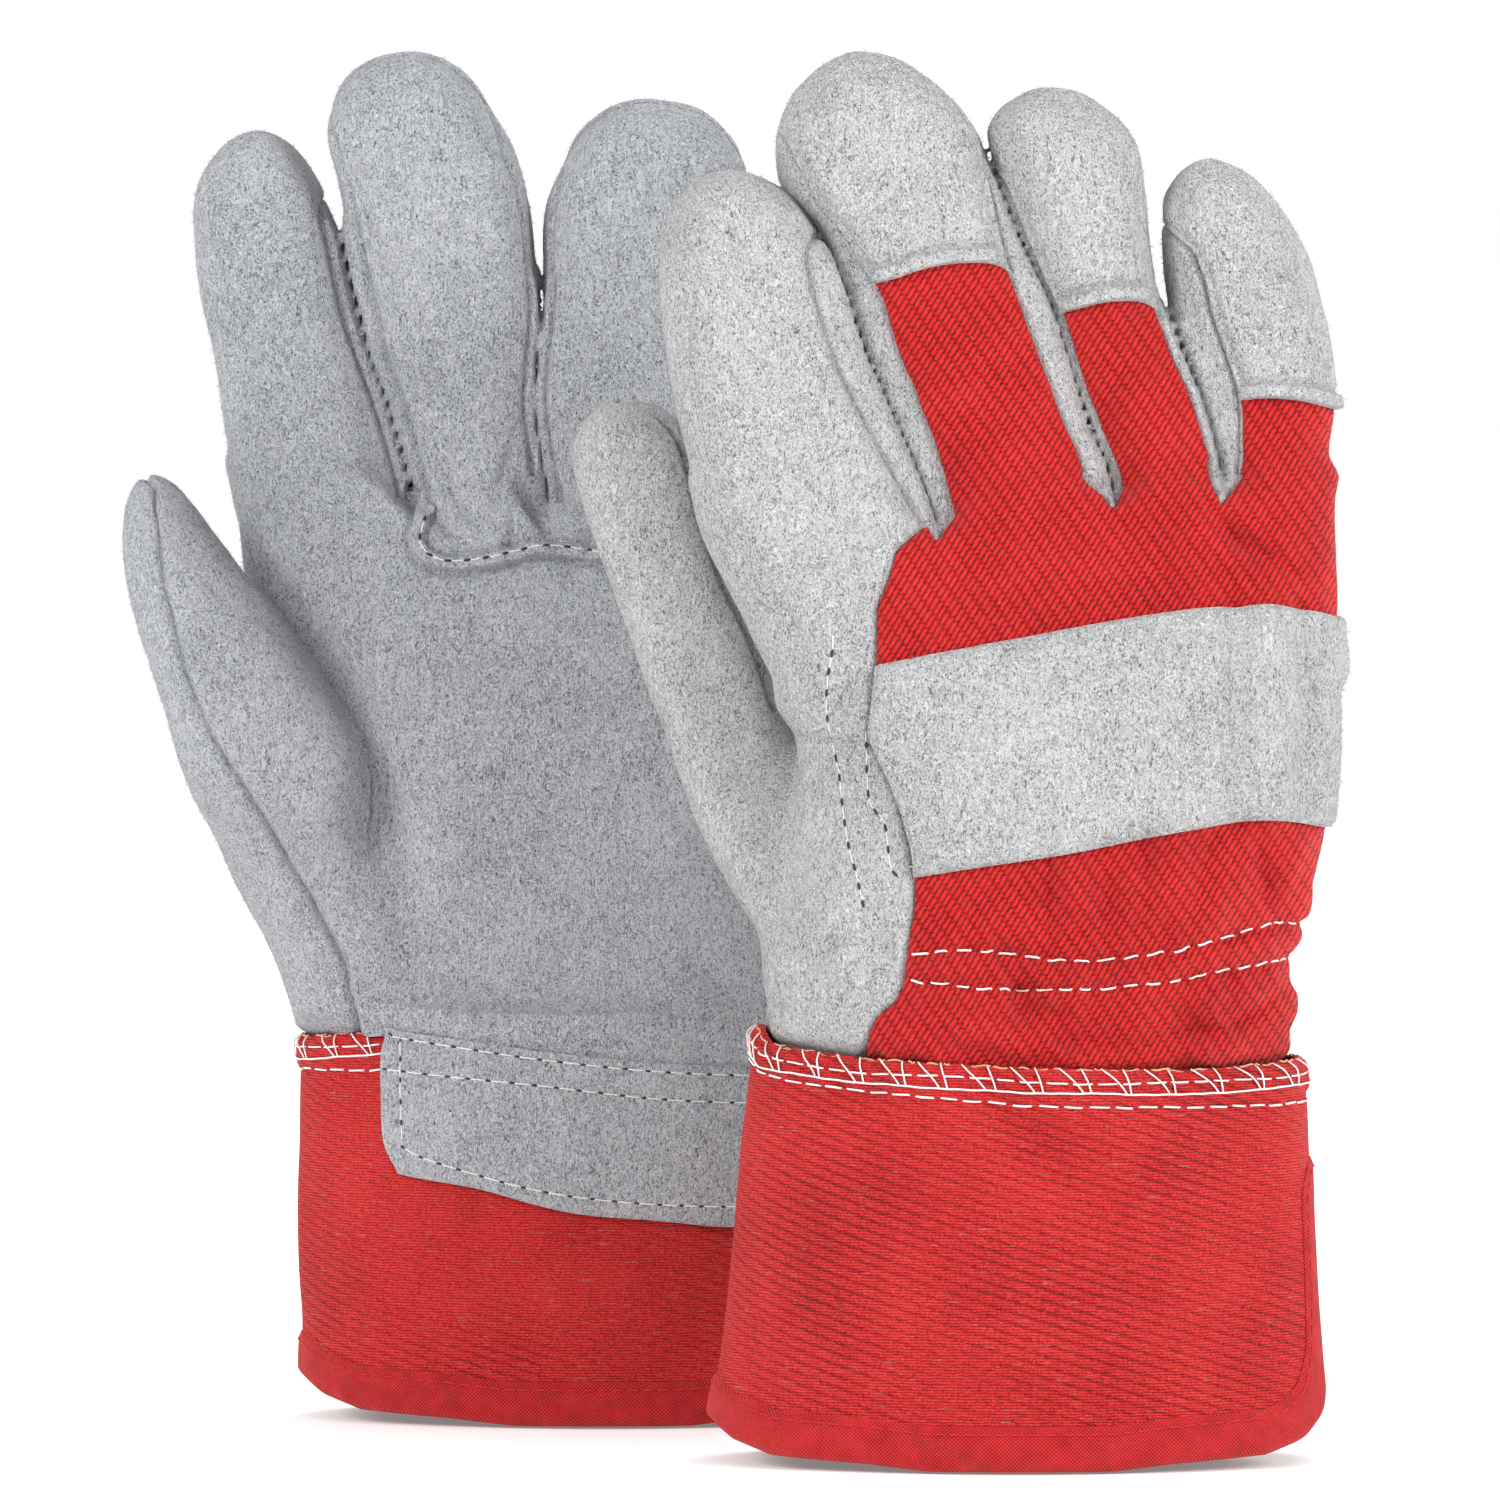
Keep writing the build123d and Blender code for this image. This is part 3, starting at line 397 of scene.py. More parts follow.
def make_skin(side):
    xs = [p[0] for k in OUT[side] for p in OUT[side][k] if k != "hand"] + [p[0] for p in OUT[side]["hand"] if p[1] < 190]
    x0, x1 = min(xs) - 4, max(xs) + 4
    xg = np.arange(x0, x1, VOX)
    zg = np.arange(27, 270, VOX)
    yg = np.arange(-42, 42, VOX)
    X, Z = np.meshgrid(xg, zg, indexing="ij")
    prim = {n: primitive(side, n, X, Z, yg) for n in OUT[side]}
    top = np.array([np.interp(xg, [p[0] for p in TOPLINE[side]], [p[1] for p in TOPLINE[side]])])
    top = spline([(a, b) for a, b in TOPLINE[side]], False, 1.0)
    top = np.interp(xg, top[:, 0], top[:, 1])
    cap = (Z - top[:, None])[:, :, None]
    hand = smax(prim["hand"], np.broadcast_to(cap, prim["hand"].shape), 3.0)
    # fingers are kept apart by the gap lines
    F = None
    for i, f in enumerate(FINGERS):
        g = prim[f]
        lo = -1e3
        if i > 0:
            s = np.interp(zg, [p[0] for p in SEPS[side][i - 1]], [p[1] for p in SEPS[side][i - 1]])
            hi = CLOSE[side][i - 1]
            g = g - (1.7 * np.exp(-((X - s[None, :]) / 3.2) ** 2) * (1 - smooth(hi - 10, hi, Z)))[:, :, None]
            g = smax(g, ((s[None, :] - X) + 0.12)[:, :, None] * np.ones_like(g), 0.8)
        if i < 3:
            s = np.interp(zg, [p[0] for p in SEPS[side][i]], [p[1] for p in SEPS[side][i]])
            hi = CLOSE[side][i]
            g = g - (1.7 * np.exp(-((X - s[None, :]) / 3.2) ** 2) * (1 - smooth(hi - 10, hi, Z)))[:, :, None]
            g = smax(g, ((X - s[None, :]) + 0.12)[:, :, None] * np.ones_like(g), 0.8)
        F = g if F is None else np.minimum(F, g)
    body = smin(F, hand, 3.6)
    # the palm leather runs down over the cuff as a tongue
    cu = CUFF[side]
    ca = np.interp(zg, [cu[0][0], cu[1][0]], [cu[0][2], cu[1][2]])[None, :]
    cb = np.interp(zg, [cu[0][0], cu[1][0]], [cu[0][3], cu[1][3]])[None, :]
    cx = np.interp(zg, [cu[0][0], cu[1][0]], [cu[0][1], cu[1][1]])[None, :]
    half = cb * np.sqrt(np.clip(1 - ((X - cx) / ca) ** 2, 0, 1)) + 1.5
    reach = dist2(spline(tongue(side), True, 2.0), X, Z) + 2.5
    pw = PALM[side] * yg[None, None, :]
    flap = np.maximum(np.maximum(pw - half[:, :, None], -reach[:, :, None]), 8.0 - pw)
    flap = np.maximum(flap, (Z - 76.0)[:, :, None])
    ze = np.interp(xg, [p[0] for p in CUFF_EDGE[side]], [p[1] for p in CUFF_EDGE[side]])[:, None]
    mouth = (np.sqrt(((X - cx) / ca)[:, :, None] ** 2 + (yg[None, None, :] / cb[:, :, None]) ** 2) - 1) * cb[:, :, None] + 2.9
    mouth = mouth - (np.clip(Z - ze + 0.6, 0, 14) * 1.15)[:, :, None]
    low = (Z < ze + 13)[:, :, None]
    body = np.where(low, smax(body, mouth, 2.0), body)
    body = smin(np.maximum(body, (61.0 - Z)[:, :, None]), flap, 7.0)
    tb = np.where(low, smax(prim["thumb"], mouth, 2.0), prim["thumb"])
    full = smin(body, np.maximum(tb, (66.0 - Z)[:, :, None]), 4.5)
    full = np.transpose(full, (0, 2, 1))
    o = np.array([x0, -42.0, 27.0])
    V, Q = surface_nets(full, o, VOX)
    E = np.concatenate([Q[:, [0, 1]], Q[:, [1, 2]], Q[:, [2, 3]], Q[:, [3, 0]]])
    E = np.unique(np.sort(E, 1), axis=0)
    V = relax(V, E, 4, full, o, VOX)
    d1 = np.linalg.norm(V[Q[:, 0]] - V[Q[:, 2]], axis=1)
    d2 = np.linalg.norm(V[Q[:, 1]] - V[Q[:, 3]], axis=1)
    a = Q[d1 <= d2]
    b = Q[d1 > d2]
    T = np.concatenate([a[:, [0, 1, 2]], a[:, [0, 2, 3]], b[:, [0, 1, 3]], b[:, [1, 2, 3]]])
    g = grad(full, o, VOX, V)
    N = g / np.maximum(np.linalg.norm(g, axis=1), 1e-9)[:, None]
    vn = vert_normals(V, T)
    if (vn * N).sum() < 0:
        T = T[:, ::-1]
    N = N + 0.0
    th = np.transpose(prim["thumb"], (0, 2, 1))
    bo = np.transpose(body, (0, 2, 1))
    terr = trilin(bo, o, VOX, V) - trilin(th, o, VOX, V)
    V = V.copy()
    V[:, 1] += Y0[side]
    return V, N, T, terr


# ------------------------------------------------------------------ mesh cutting
def split(A, F, s):
    s = np.where(np.abs(s) < 1e-3, 1e-3, s)
    S = s[F] > 0
    n = S.sum(1)
    pos, neg = [F[n == 3]], [F[n == 0]]
    keys, va, vb = [], [], []
    mixed = []
    for want, lone in ((1, True), (2, False)):
        G = F[n == want]
        if not len(G):
            mixed.append(None)
            continue
        L = (s[G] > 0) == lone
        k = np.argmax(L, 1)
        r = np.arange(len(G))
        a, b, c = G[r, k], G[r, (k + 1) % 3], G[r, (k + 2) % 3]
        mixed.append((a, b, c))
        for p, q in ((a, b), (a, c)):
            va.append(p)
            vb.append(q)
    if not va:
        return A, np.concatenate(pos), np.concatenate(neg), s
    P, Qv = np.concatenate(va), np.concatenate(vb)
    lo, hi = np.minimum(P, Qv), np.maximum(P, Qv)
    key = lo * len(A) + hi
    uk, inv = np.unique(key, return_inverse=True)
    l, h = uk // len(A), uk % len(A)
    t = s[l] / (s[l] - s[h])
    new = A[l] * (1 - t)[:, None] + A[h] * t[:, None]
    ids = inv + len(A)
    A2 = np.concatenate([A, new])
    s2 = np.concatenate([s, np.full(len(new), 0.0)])
    off = 0
    for lone, m in zip((True, False), mixed):
        if m is None:
            continue
        a, b, c = m
        k = len(a)
        ab, ac = ids[off:off + k], ids[off + k:off + 2 * k]
        off += 2 * k
        one = np.stack([a, ab, ac], 1)
        two = np.concatenate([np.stack([ab, b, c], 1), np.stack([ab, c, ac], 1)])
        (pos if lone else neg).append(one)
        (neg if lone else pos).append(two)
    return A2, np.concatenate(pos), np.concatenate(neg), s2


def compact(A, F):
    u, inv = np.unique(F.ravel(), return_inverse=True)
    return A[u], inv.reshape(-1, 3)


def clip(M, f):
    A, F = M
    A, P, _, _ = split(A, F, f)
    return compact(A, P) if len(P) else (A[:0], P)


def sliced(M, col, levels):
    A, F = M
    for lv in levels:
        A, P, Ng, _ = split(A, F, A[:, col] - lv)
        F = np.concatenate([P, Ng])
    return A, F


def surf_dist(M, f, least=0.18):
    """Field turned into distance along the surface: f over its slope."""
    A, F = M
    V = A[:, :3]
    a, b, c = V[F[:, 0]], V[F[:, 1]], V[F[:, 2]]
    n = np.cross(b - a, c - a)
    ar = np.linalg.norm(n, axis=1) + 1e-12
    nh = n / ar[:, None]
    fa, fb, fc = f[F[:, 0]], f[F[:, 1]], f[F[:, 2]]
    g = (fa[:, None] * np.cross(nh, c - b) + fb[:, None] * np.cross(nh, a - c) + fc[:, None] * np.cross(nh, b - a)) / ar[:, None]
    g = np.linalg.norm(g, axis=1)
    num = np.bincount(F.ravel(), np.repeat(g * ar, 3), len(V))
    den = np.bincount(F.ravel(), np.repeat(ar, 3), len(V))
    return f / np.clip(num / np.maximum(den, 1e-9), least, None)


def border(F):
    """Directed border edges of a triangle list."""
    e = np.concatenate([F[:, [0, 1]], F[:, [1, 2]], F[:, [2, 0]]])
    n = F.max() + 1
    k = e[:, 0] * n + e[:, 1]
    r = e[:, 1] * n + e[:, 0]
    return e[~np.isin(k, r)]


PIECES = {}


def to_row(P):
    return (P + SH) / 1000.0


def mesh_object(name, V, F, mat, normals=None, uv=None, flat_from=None, extra=None):
    me = bpy.data.meshes.new(name)
    me.vertices.add(len(V))
    me.vertices.foreach_set("co", to_row(V).astype(np.float32).ravel())
    F = np.asarray(F)
    k = F.shape[1]
    me.loops.add(F.size)
    me.loops.foreach_set("vertex_index", F.astype(np.int32).ravel())
    me.polygons.add(len(F))
    me.polygons.foreach_set("loop_start", (np.arange(len(F)) * k).astype(np.int32))
    me.polygons.foreach_set("loop_total", np.full(len(F), k, np.int32))
    me.update(calc_edges=True)
    me.validate(clean_customdata=False)
    me.polygons.foreach_set("use_smooth", np.ones(len(me.polygons), bool))
    if extra:
        for key, val in extra.items():
            at = me.attributes.new(key, "FLOAT_VECTOR" if val.ndim == 2 else "FLOAT", "POINT")
            at.data.foreach_set("vector" if val.ndim == 2 else "value", val.astype(np.float32).ravel())
    if normals is not None and len(me.vertices) == len(normals):
        me.normals_split_custom_set_from_vertices(normals.astype(np.float32))
    me.materials.append(mat)
    ob = bpy.data.objects.new(name, me)
    bpy.context.scene.collection.objects.link(ob)
    PIECES[name] = ob
    return ob


def shell(name, A, F, thick, mat, cols, nap=None):
    """Closed shell object from an outer surface. A holds base xyz, base normal, outer xyz, outer normal, cloth coordinates."""
    A, F = compact(A, F)
    base, bn, out, on, uvm = A[:, 0:3], A[:, 3:6], A[:, cols["out"]], A[:, cols["on"]], A[:, cols["uv"]]
    inner = base - bn * thick
    e = border(F)
    n = len(A)
    rv = np.unique(e.ravel())
    remap = np.full(n, -1)
    remap[rv] = np.arange(len(rv))
    m = len(rv)
    V = np.concatenate([out, inner, out[rv], inner[rv]])
    o0, i0 = 2 * n, 2 * n + m
    a, b = remap[e[:, 0]], remap[e[:, 1]]
    rim = np.concatenate([np.stack([o0 + b, o0 + a, i0 + a], 1), np.stack([o0 + b, i0 + a, i0 + b], 1)])
    FF = np.concatenate([F, F[:, ::-1] + n, rim])
    rn = vert_normals(V, rim)
    N = np.concatenate([on, -bn, rn[2 * n:]])
    on_len = np.linalg.norm(N, axis=1)
    N = N / np.maximum(on_len, 1e-9)[:, None]
    uv = np.concatenate([uvm, uvm, uvm[rv], uvm[rv]])
    edge = np.concatenate([A[:, cols["edge"]], A[:, cols["edge"]], A[rv, cols["edge"]], A[rv, cols["edge"]]])
    if nap:
        dens, length, r = nap
        a, b, c = out[F[:, 0]], out[F[:, 1]], out[F[:, 2]]
        ar = 0.5 * np.linalg.norm(np.cross(b - a, c - a), axis=1)
        k = min(int(ar.sum() * dens), 24000)
        t = rng.choice(len(F), k, p=ar / ar.sum())
        w1, w2 = rng.random(k), rng.random(k)
        sw = w1 + w2 > 1
        w1[sw], w2[sw] = 1 - w1[sw], 1 - w2[sw]
        W = np.stack([1 - w1 - w2, w1, w2], 1)[:, :, None]
        P, M = (out[F[t]] * W).sum(1), (on[F[t]] * W).sum(1)
        M /= np.maximum(np.linalg.norm(M, axis=1), 1e-9)[:, None]
        D = rng.normal(size=(k, 3))
        D -= M * (D * M).sum(1)[:, None]
        D /= np.maximum(np.linalg.norm(D, axis=1), 1e-9)[:, None]
        B2 = np.cross(M, D)
        l = length * (0.45 + rng.random(k) ** 2 * 1.1)
        lean = 0.35 + 1.5 * rng.random(k)
        tip = P + (M + D * lean[:, None]) / np.sqrt(1 + lean ** 2)[:, None] * l[:, None]
        P0 = P - M * 0.12
        ring = [P0 + (D * math.cos(q) + B2 * math.sin(q)) * r for q in (0.0, 2.094, 4.189)]
        W4 = np.stack(ring + [tip], 1).reshape(-1, 3)
        o = len(V) + 4 * np.arange(k)[:, None]
        T4 = np.concatenate([o + np.array([[0, 1, 3]]), o + np.array([[1, 2, 3]]), o + np.array([[2, 0, 3]]), o + np.array([[0, 2, 1]])])
        src = F[t, 0]
        V, FF = np.concatenate([V, W4]), np.concatenate([FF, T4])
        N = np.concatenate([N, np.repeat(M, 4, 0)])
        uv = np.concatenate([uv, np.repeat(uvm[src], 4, 0)])
        edge = np.concatenate([edge, np.repeat(A[src, cols["edge"]], 4)])
    return mesh_object(name, V, FF, mat, N, extra={"cloth": uv, "edge": edge})


# ------------------------------------------------------------------ materials
def new_mat(name):
    m = bpy.data.materials.new(name)
    m.use_nodes = True
    nt = m.node_tree
    b = nt.nodes["Principled BSDF"]
    return m, nt, b


def node(nt, kind, **kw):
    n = nt.nodes.new(kind)
    for k, v in kw.items():
        setattr(n, k, v)
    return n


def val(nt, op, a, b=None, c=None, clamp=False):
    n = nt.nodes.new("ShaderNodeMath")
    n.operation = op
    n.use_clamp = clamp
    for i, x in enumerate((a, b, c)):
        if x is None:
            continue
        if isinstance(x, (int, float)):
            n.inputs[i].default_value = x
        else:
            nt.links.new(x, n.inputs[i])
    return n.outputs[0]


def ramp(nt, fac, stops):
    r = nt.nodes.new("ShaderNodeValToRGB")
    el = r.color_ramp.elements
    while len(el) > 1:
        el.remove(el[-1])
    el[0].position = stops[0][0]
    el[0].color = (*stops[0][1], 1)
    for p, c in stops[1:]:
        e = el.new(p)
        e.color = (*c, 1)
    nt.links.new(fac, r.inputs[0])
    return r.outputs[0]


def mix(nt, f, a, b, kind="MIX"):
    n = nt.nodes.new("ShaderNodeMix")
    n.data_type = "RGBA"
    n.blend_type = kind
    n.clamp_factor = True
    for s, x in ((0, f), (6, a), (7, b)):
        if isinstance(x, (int, float)):
            n.inputs[s].default_value = x
        elif isinstance(x, tuple):
            n.inputs[s].default_value = (*x, 1)
        else:
            nt.links.new(x, n.inputs[s])
    return n.outputs[2]


def noise(nt, vec, scale, detail=3.0, rough=0.55, dist=0.0):
    n = node(nt, "ShaderNodeTexNoise")
    nt.links.new(vec, n.inputs["Vector"])
    n.inputs["Scale"].default_value = scale
    n.inputs["Detail"].default_value = detail
    n.inputs["Roughness"].default_value = rough
    n.inputs["Distortion"].default_value = dist
    return n.outputs["Fac"]


def scaled(nt, vec, s):
    m = node(nt, "ShaderNodeVectorMath", operation="MULTIPLY")
    nt.links.new(vec, m.inputs[0])
    m.inputs[1].default_value = s
    return m.outputs[0]


def attr(nt, name):
    a = node(nt, "ShaderNodeAttribute", attribute_name=name)
    return a


def sep(nt, vec):
    s = node(nt, "ShaderNodeSeparateXYZ")
    nt.links.new(vec, s.inputs[0])
    return s.outputs


def bump(nt, b, height, dist, strength=1.0, prev=None):
    n = node(nt, "ShaderNodeBump")
    n.inputs["Distance"].default_value = dist
    n.inputs["Strength"].default_value = strength
    nt.links.new(height, n.inputs["Height"])
    if prev is not None:
        nt.links.new(prev, n.inputs["Normal"])
    nt.links.new(n.outputs[0], b.inputs["Normal"])
    return n.outputs[0]


def turned(nt, vec, rot, scale):
    st = node(nt, "ShaderNodeMapping")
    nt.links.new(vec, st.inputs["Vector"])
    st.inputs["Rotation"].default_value = rot
    st.inputs["Scale"].default_value = scale
    return st.outputs[0]


def ridge(nt, n, k):
    """Thin lines where a noise crosses its middle."""
    return val(nt, "SUBTRACT", 1.0, val(nt, "MULTIPLY", val(nt, "ABSOLUTE", val(nt, "SUBTRACT", n, 0.5)), k), clamp=True)


def suede(name, dark, mid, light, warm):
    """Split suede: short raised nap in tangled tufts, brushed patches, paler worn edges."""
    m, nt, b = new_mat(name)
    co = node(nt, "ShaderNodeTexCoord").outputs["Object"]
    mm = scaled(nt, co, (1000, 1000, 1000))
    big = noise(nt, mm, 0.035, 3, 0.55)
    patch = noise(nt, mm, 0.11, 3, 0.6, 0.6)
    f1 = ridge(nt, noise(nt, turned(nt, mm, (0.3, 0.6, 0.6), (1.0, 1.0, 0.45)), 1.25, 2, 0.6, 1.1), 6.5)
    f2 = ridge(nt, noise(nt, turned(nt, mm, (-0.4, -0.7, -0.5), (1.0, 1.0, 0.45)), 1.5, 2, 0.6, 1.3), 6.5)
    nap = noise(nt, mm, 1.9, 3, 0.75, 0.8)
    fine = noise(nt, mm, 3.2, 2, 0.7)
    fib = val(nt, "MAXIMUM", f1, f2)
    tone = val(nt, "ADD", val(nt, "MULTIPLY", fib, 0.30), val(nt, "MULTIPLY", nap, 0.62))
    tone = val(nt, "ADD", tone, val(nt, "MULTIPLY", val(nt, "SUBTRACT", fine, 0.5), 0.55))
    tone = val(nt, "ADD", tone, val(nt, "MULTIPLY", val(nt, "SUBTRACT", patch, 0.5), 0.10))
    tone = val(nt, "ADD", tone, val(nt, "MULTIPLY", val(nt, "SUBTRACT", big, 0.5), 0.14))
    pit = tuple(x * 0.45 for x in dark)
    col = ramp(nt, tone, [(0.26, pit), (0.38, dark), (0.50, mid), (0.63, light), (0.85, tuple(min(1, x * 1.06) for x in light))])
    specks = val(nt, "GREATER_THAN", noise(nt, mm, 0.9, 1, 0.4), 0.79)
    col = mix(nt, val(nt, "MULTIPLY", specks, 0.10), col, warm)
    e = attr(nt, "edge").outputs["Fac"]
    near = val(nt, "SUBTRACT", 1.0, val(nt, "MULTIPLY", e, 0.55, clamp=True), clamp=True)
    col = mix(nt, val(nt, "MULTIPLY", near, 0.10), col, light)
    nt.links.new(col, b.inputs["Base Color"])
    b.inputs["Roughness"].default_value = 1.0
    b.inputs["Specular IOR Level"].default_value = 0.10
    b.inputs["Sheen Weight"].default_value = 0.30
    b.inputs["Sheen Roughness"].default_value = 0.5
    b.inputs["Sheen Tint"].default_value = (0.98, 0.99, 1.0, 1)
    h = val(nt, "ADD", val(nt, "MULTIPLY", nap, 0.8), val(nt, "MULTIPLY", fib, 0.5))
    h = val(nt, "ADD", h, val(nt, "MULTIPLY", fine, 0.5))
    bump(nt, b, h, 0.0011, 1.0)
    return m


def twill(name, deep, mid, light, pitch=1.05, slope=0.50):
    """Cotton drill: fat diagonal ribs of yarn, each broken into short floats, with lint."""
    m, nt, b = new_mat(name)
    at = attr(nt, "cloth").outputs["Vector"]
    s = sep(nt, at)
    co = node(nt, "ShaderNodeTexCoord").outputs["Object"]
    mm = scaled(nt, co, (1000, 1000, 1000))
    wob = val(nt, "MULTIPLY", val(nt, "SUBTRACT", noise(nt, mm, 0.22, 2, 0.5), 0.5), 0.7)
    wob2 = val(nt, "MULTIPLY", val(nt, "SUBTRACT", noise(nt, mm, 1.6, 2, 0.5), 0.5), 0.42)
    u = val(nt, "ADD", s[0], wob2)
    v = val(nt, "ADD", s[1], wob)
    d = val(nt, "DIVIDE", val(nt, "ADD", val(nt, "MULTIPLY", u, 0.86), val(nt, "MULTIPLY", v, -slope)), pitch)
    rib = val(nt, "FRACT", d)
    cell = val(nt, "FLOOR", d)
    tri = val(nt, "ABSOLUTE", val(nt, "SUBTRACT", val(nt, "MULTIPLY", rib, 2), 1))
    dome = val(nt, "SQRT", val(nt, "SUBTRACT", 1.0, val(nt, "POWER", tri, 2.0), clamp=True))
    off = val(nt, "FRACT", val(nt, "MULTIPLY", cell, 0.37))
    f = val(nt, "FRACT", val(nt, "ADD", val(nt, "DIVIDE", v, 2.5), off))
    ftri = val(nt, "ABSOLUTE", val(nt, "SUBTRACT", val(nt, "MULTIPLY", f, 2), 1))
    fdome = val(nt, "SUBTRACT", 1.0, val(nt, "POWER", ftri, 6.0), clamp=True)
    h = val(nt, "MULTIPLY", dome, val(nt, "ADD", 0.50, val(nt, "MULTIPLY", fdome, 0.50)))
    fuzz = noise(nt, mm, 2.2, 3, 0.75)
    h2 = val(nt, "ADD", h, val(nt, "MULTIPLY", fuzz, 0.35))
    shade = val(nt, "ADD", val(nt, "MULTIPLY", h, 0.66), val(nt, "MULTIPLY", noise(nt, mm, 0.09, 3, 0.6), 0.34))
    shade = val(nt, "ADD", shade, val(nt, "MULTIPLY", val(nt, "SUBTRACT", fuzz, 0.5), 0.95))
    col = ramp(nt, shade, [(0.26, deep), (0.56, mid), (0.98, light)])
    lint = val(nt, "GREATER_THAN", noise(nt, mm, 0.75, 2, 0.5, 0.5), 0.775)
    fine = val(nt, "GREATER_THAN", noise(nt, mm, 3.6, 2, 0.6), 0.56)
    col = mix(nt, val(nt, "MULTIPLY", val(nt, "MULTIPLY", lint, fine), 0.55), col, (0.95, 0.72, 0.70))
    nt.links.new(col, b.inputs["Base Color"])
    b.inputs["Roughness"].default_value = 0.92
    b.inputs["Specular IOR Level"].default_value = 0.18
    b.inputs["Sheen Weight"].default_value = 0.22
    b.inputs["Sheen Roughness"].default_value = 0.4
    b.inputs["Sheen Tint"].default_value = (1.0, 0.45, 0.42, 1)
    bump(nt, b, h2, 0.00065, 1.0)
    return m


def canvas(name, deep, mid, light):
    """Rubberised canvas: flattened weft with broken dark specks, pale slubs, faint diagonal lines."""
    m, nt, b = new_mat(name)
    at = attr(nt, "cloth").outputs["Vector"]
    s = sep(nt, at)
    u, v = s[0], s[1]
    co = node(nt, "ShaderNodeTexCoord").outputs["Object"]
    mm = scaled(nt, co, (1000, 1000, 1000))
    wob = val(nt, "MULTIPLY", val(nt, "SUBTRACT", noise(nt, mm, 0.5, 2, 0.5), 0.5), 0.5)
    vv = val(nt, "ADD", v, wob)
    pick = val(nt, "FRACT", val(nt, "DIVIDE", vv, 0.56))
    ptri = val(nt, "ABSOLUTE", val(nt, "SUBTRACT", val(nt, "MULTIPLY", pick, 2), 1))
    pd = val(nt, "SUBTRACT", 1.0, val(nt, "POWER", ptri, 2.5), clamp=True)
    d = val(nt, "DIVIDE", val(nt, "ADD", val(nt, "MULTIPLY", u, -0.30), val(nt, "MULTIPLY", vv, 0.95)), 2.0)
    dg = val(nt, "ABSOLUTE", val(nt, "SUBTRACT", val(nt, "MULTIPLY", val(nt, "FRACT", d), 2), 1))
    # diagonal lines show more towards +u, where the coating has worn off
    zone = noise(nt, mm, 0.018, 2, 0.5)
    zone = val(nt, "MULTIPLY", val(nt, "SUBTRACT", zone, 0.34), 3.2, clamp=True)
    comb = node(nt, "ShaderNodeCombineXYZ")
    nt.links.new(val(nt, "MULTIPLY", u, 0.16), comb.inputs[0])
    nt.links.new(val(nt, "MULTIPLY", v, 1.6), comb.inputs[1])
    streak = noise(nt, comb.outputs[0], 1.0, 2, 0.6)
    comb2 = node(nt, "ShaderNodeCombineXYZ")
    nt.links.new(val(nt, "MULTIPLY", u, 0.55), comb2.inputs[0])
    nt.links.new(val(nt, "MULTIPLY", v, 2.6), comb2.inputs[1])
    dash = noise(nt, comb2.outputs[0], 1.0, 3, 0.7)
    grain = noise(nt, mm, 2.0, 3, 0.8)
    tone = val(nt, "ADD", val(nt, "MULTIPLY", pd, 0.22), val(nt, "MULTIPLY", val(nt, "ADD", val(nt, "MULTIPLY", val(nt, "SUBTRACT", grain, 0.5), 2.2), 0.5), 0.55))
    tone = val(nt, "ADD", tone, val(nt, "MULTIPLY", noise(nt, mm, 0.05, 3, 0.55), 0.30))
    tone = val(nt, "SUBTRACT", tone, val(nt, "MULTIPLY", val(nt, "MULTIPLY", val(nt, "GREATER_THAN", dg, 0.66), zone), 0.17))
    col = ramp(nt, tone, [(0.30, deep), (0.52, mid), (0.78, light)])
    slub = val(nt, "MULTIPLY", val(nt, "GREATER_THAN", streak, 0.665), val(nt, "GREATER_THAN", dash, 0.50))
    col = mix(nt, val(nt, "MULTIPLY", slub, 0.62), col, (0.40, 0.20, 0.16))
    dk = val(nt, "MULTIPLY", val(nt, "GREATER_THAN", dash, 0.66), val(nt, "LESS_THAN", pick, 0.35))
    col = mix(nt, val(nt, "MULTIPLY", dk, 0.42), col, (0.20, 0.012, 0.014))
    lint = val(nt, "GREATER_THAN", noise(nt, mm, 0.62, 2, 0.5, 1.0), 0.80)
    col = mix(nt, val(nt, "MULTIPLY", lint, 0.55), col, (0.85, 0.55, 0.52))
    nt.links.new(col, b.inputs["Base Color"])
    b.inputs["Roughness"].default_value = 0.78
    b.inputs["Specular IOR Level"].default_value = 0.25
    b.inputs["Sheen Weight"].default_value = 0.05
    b.inputs["Sheen Roughness"].default_value = 0.5
    b.inputs["Sheen Tint"].default_value = (1.0, 0.5, 0.45, 1)
    h = val(nt, "ADD", val(nt, "MULTIPLY", pd, 0.5), val(nt, "MULTIPLY", grain, 0.8))
    h = val(nt, "SUBTRACT", h, val(nt, "MULTIPLY", val(nt, "MULTIPLY", dg, zone), 0.35))
    bump(nt, b, h, 0.00045, 1.0)
    return m


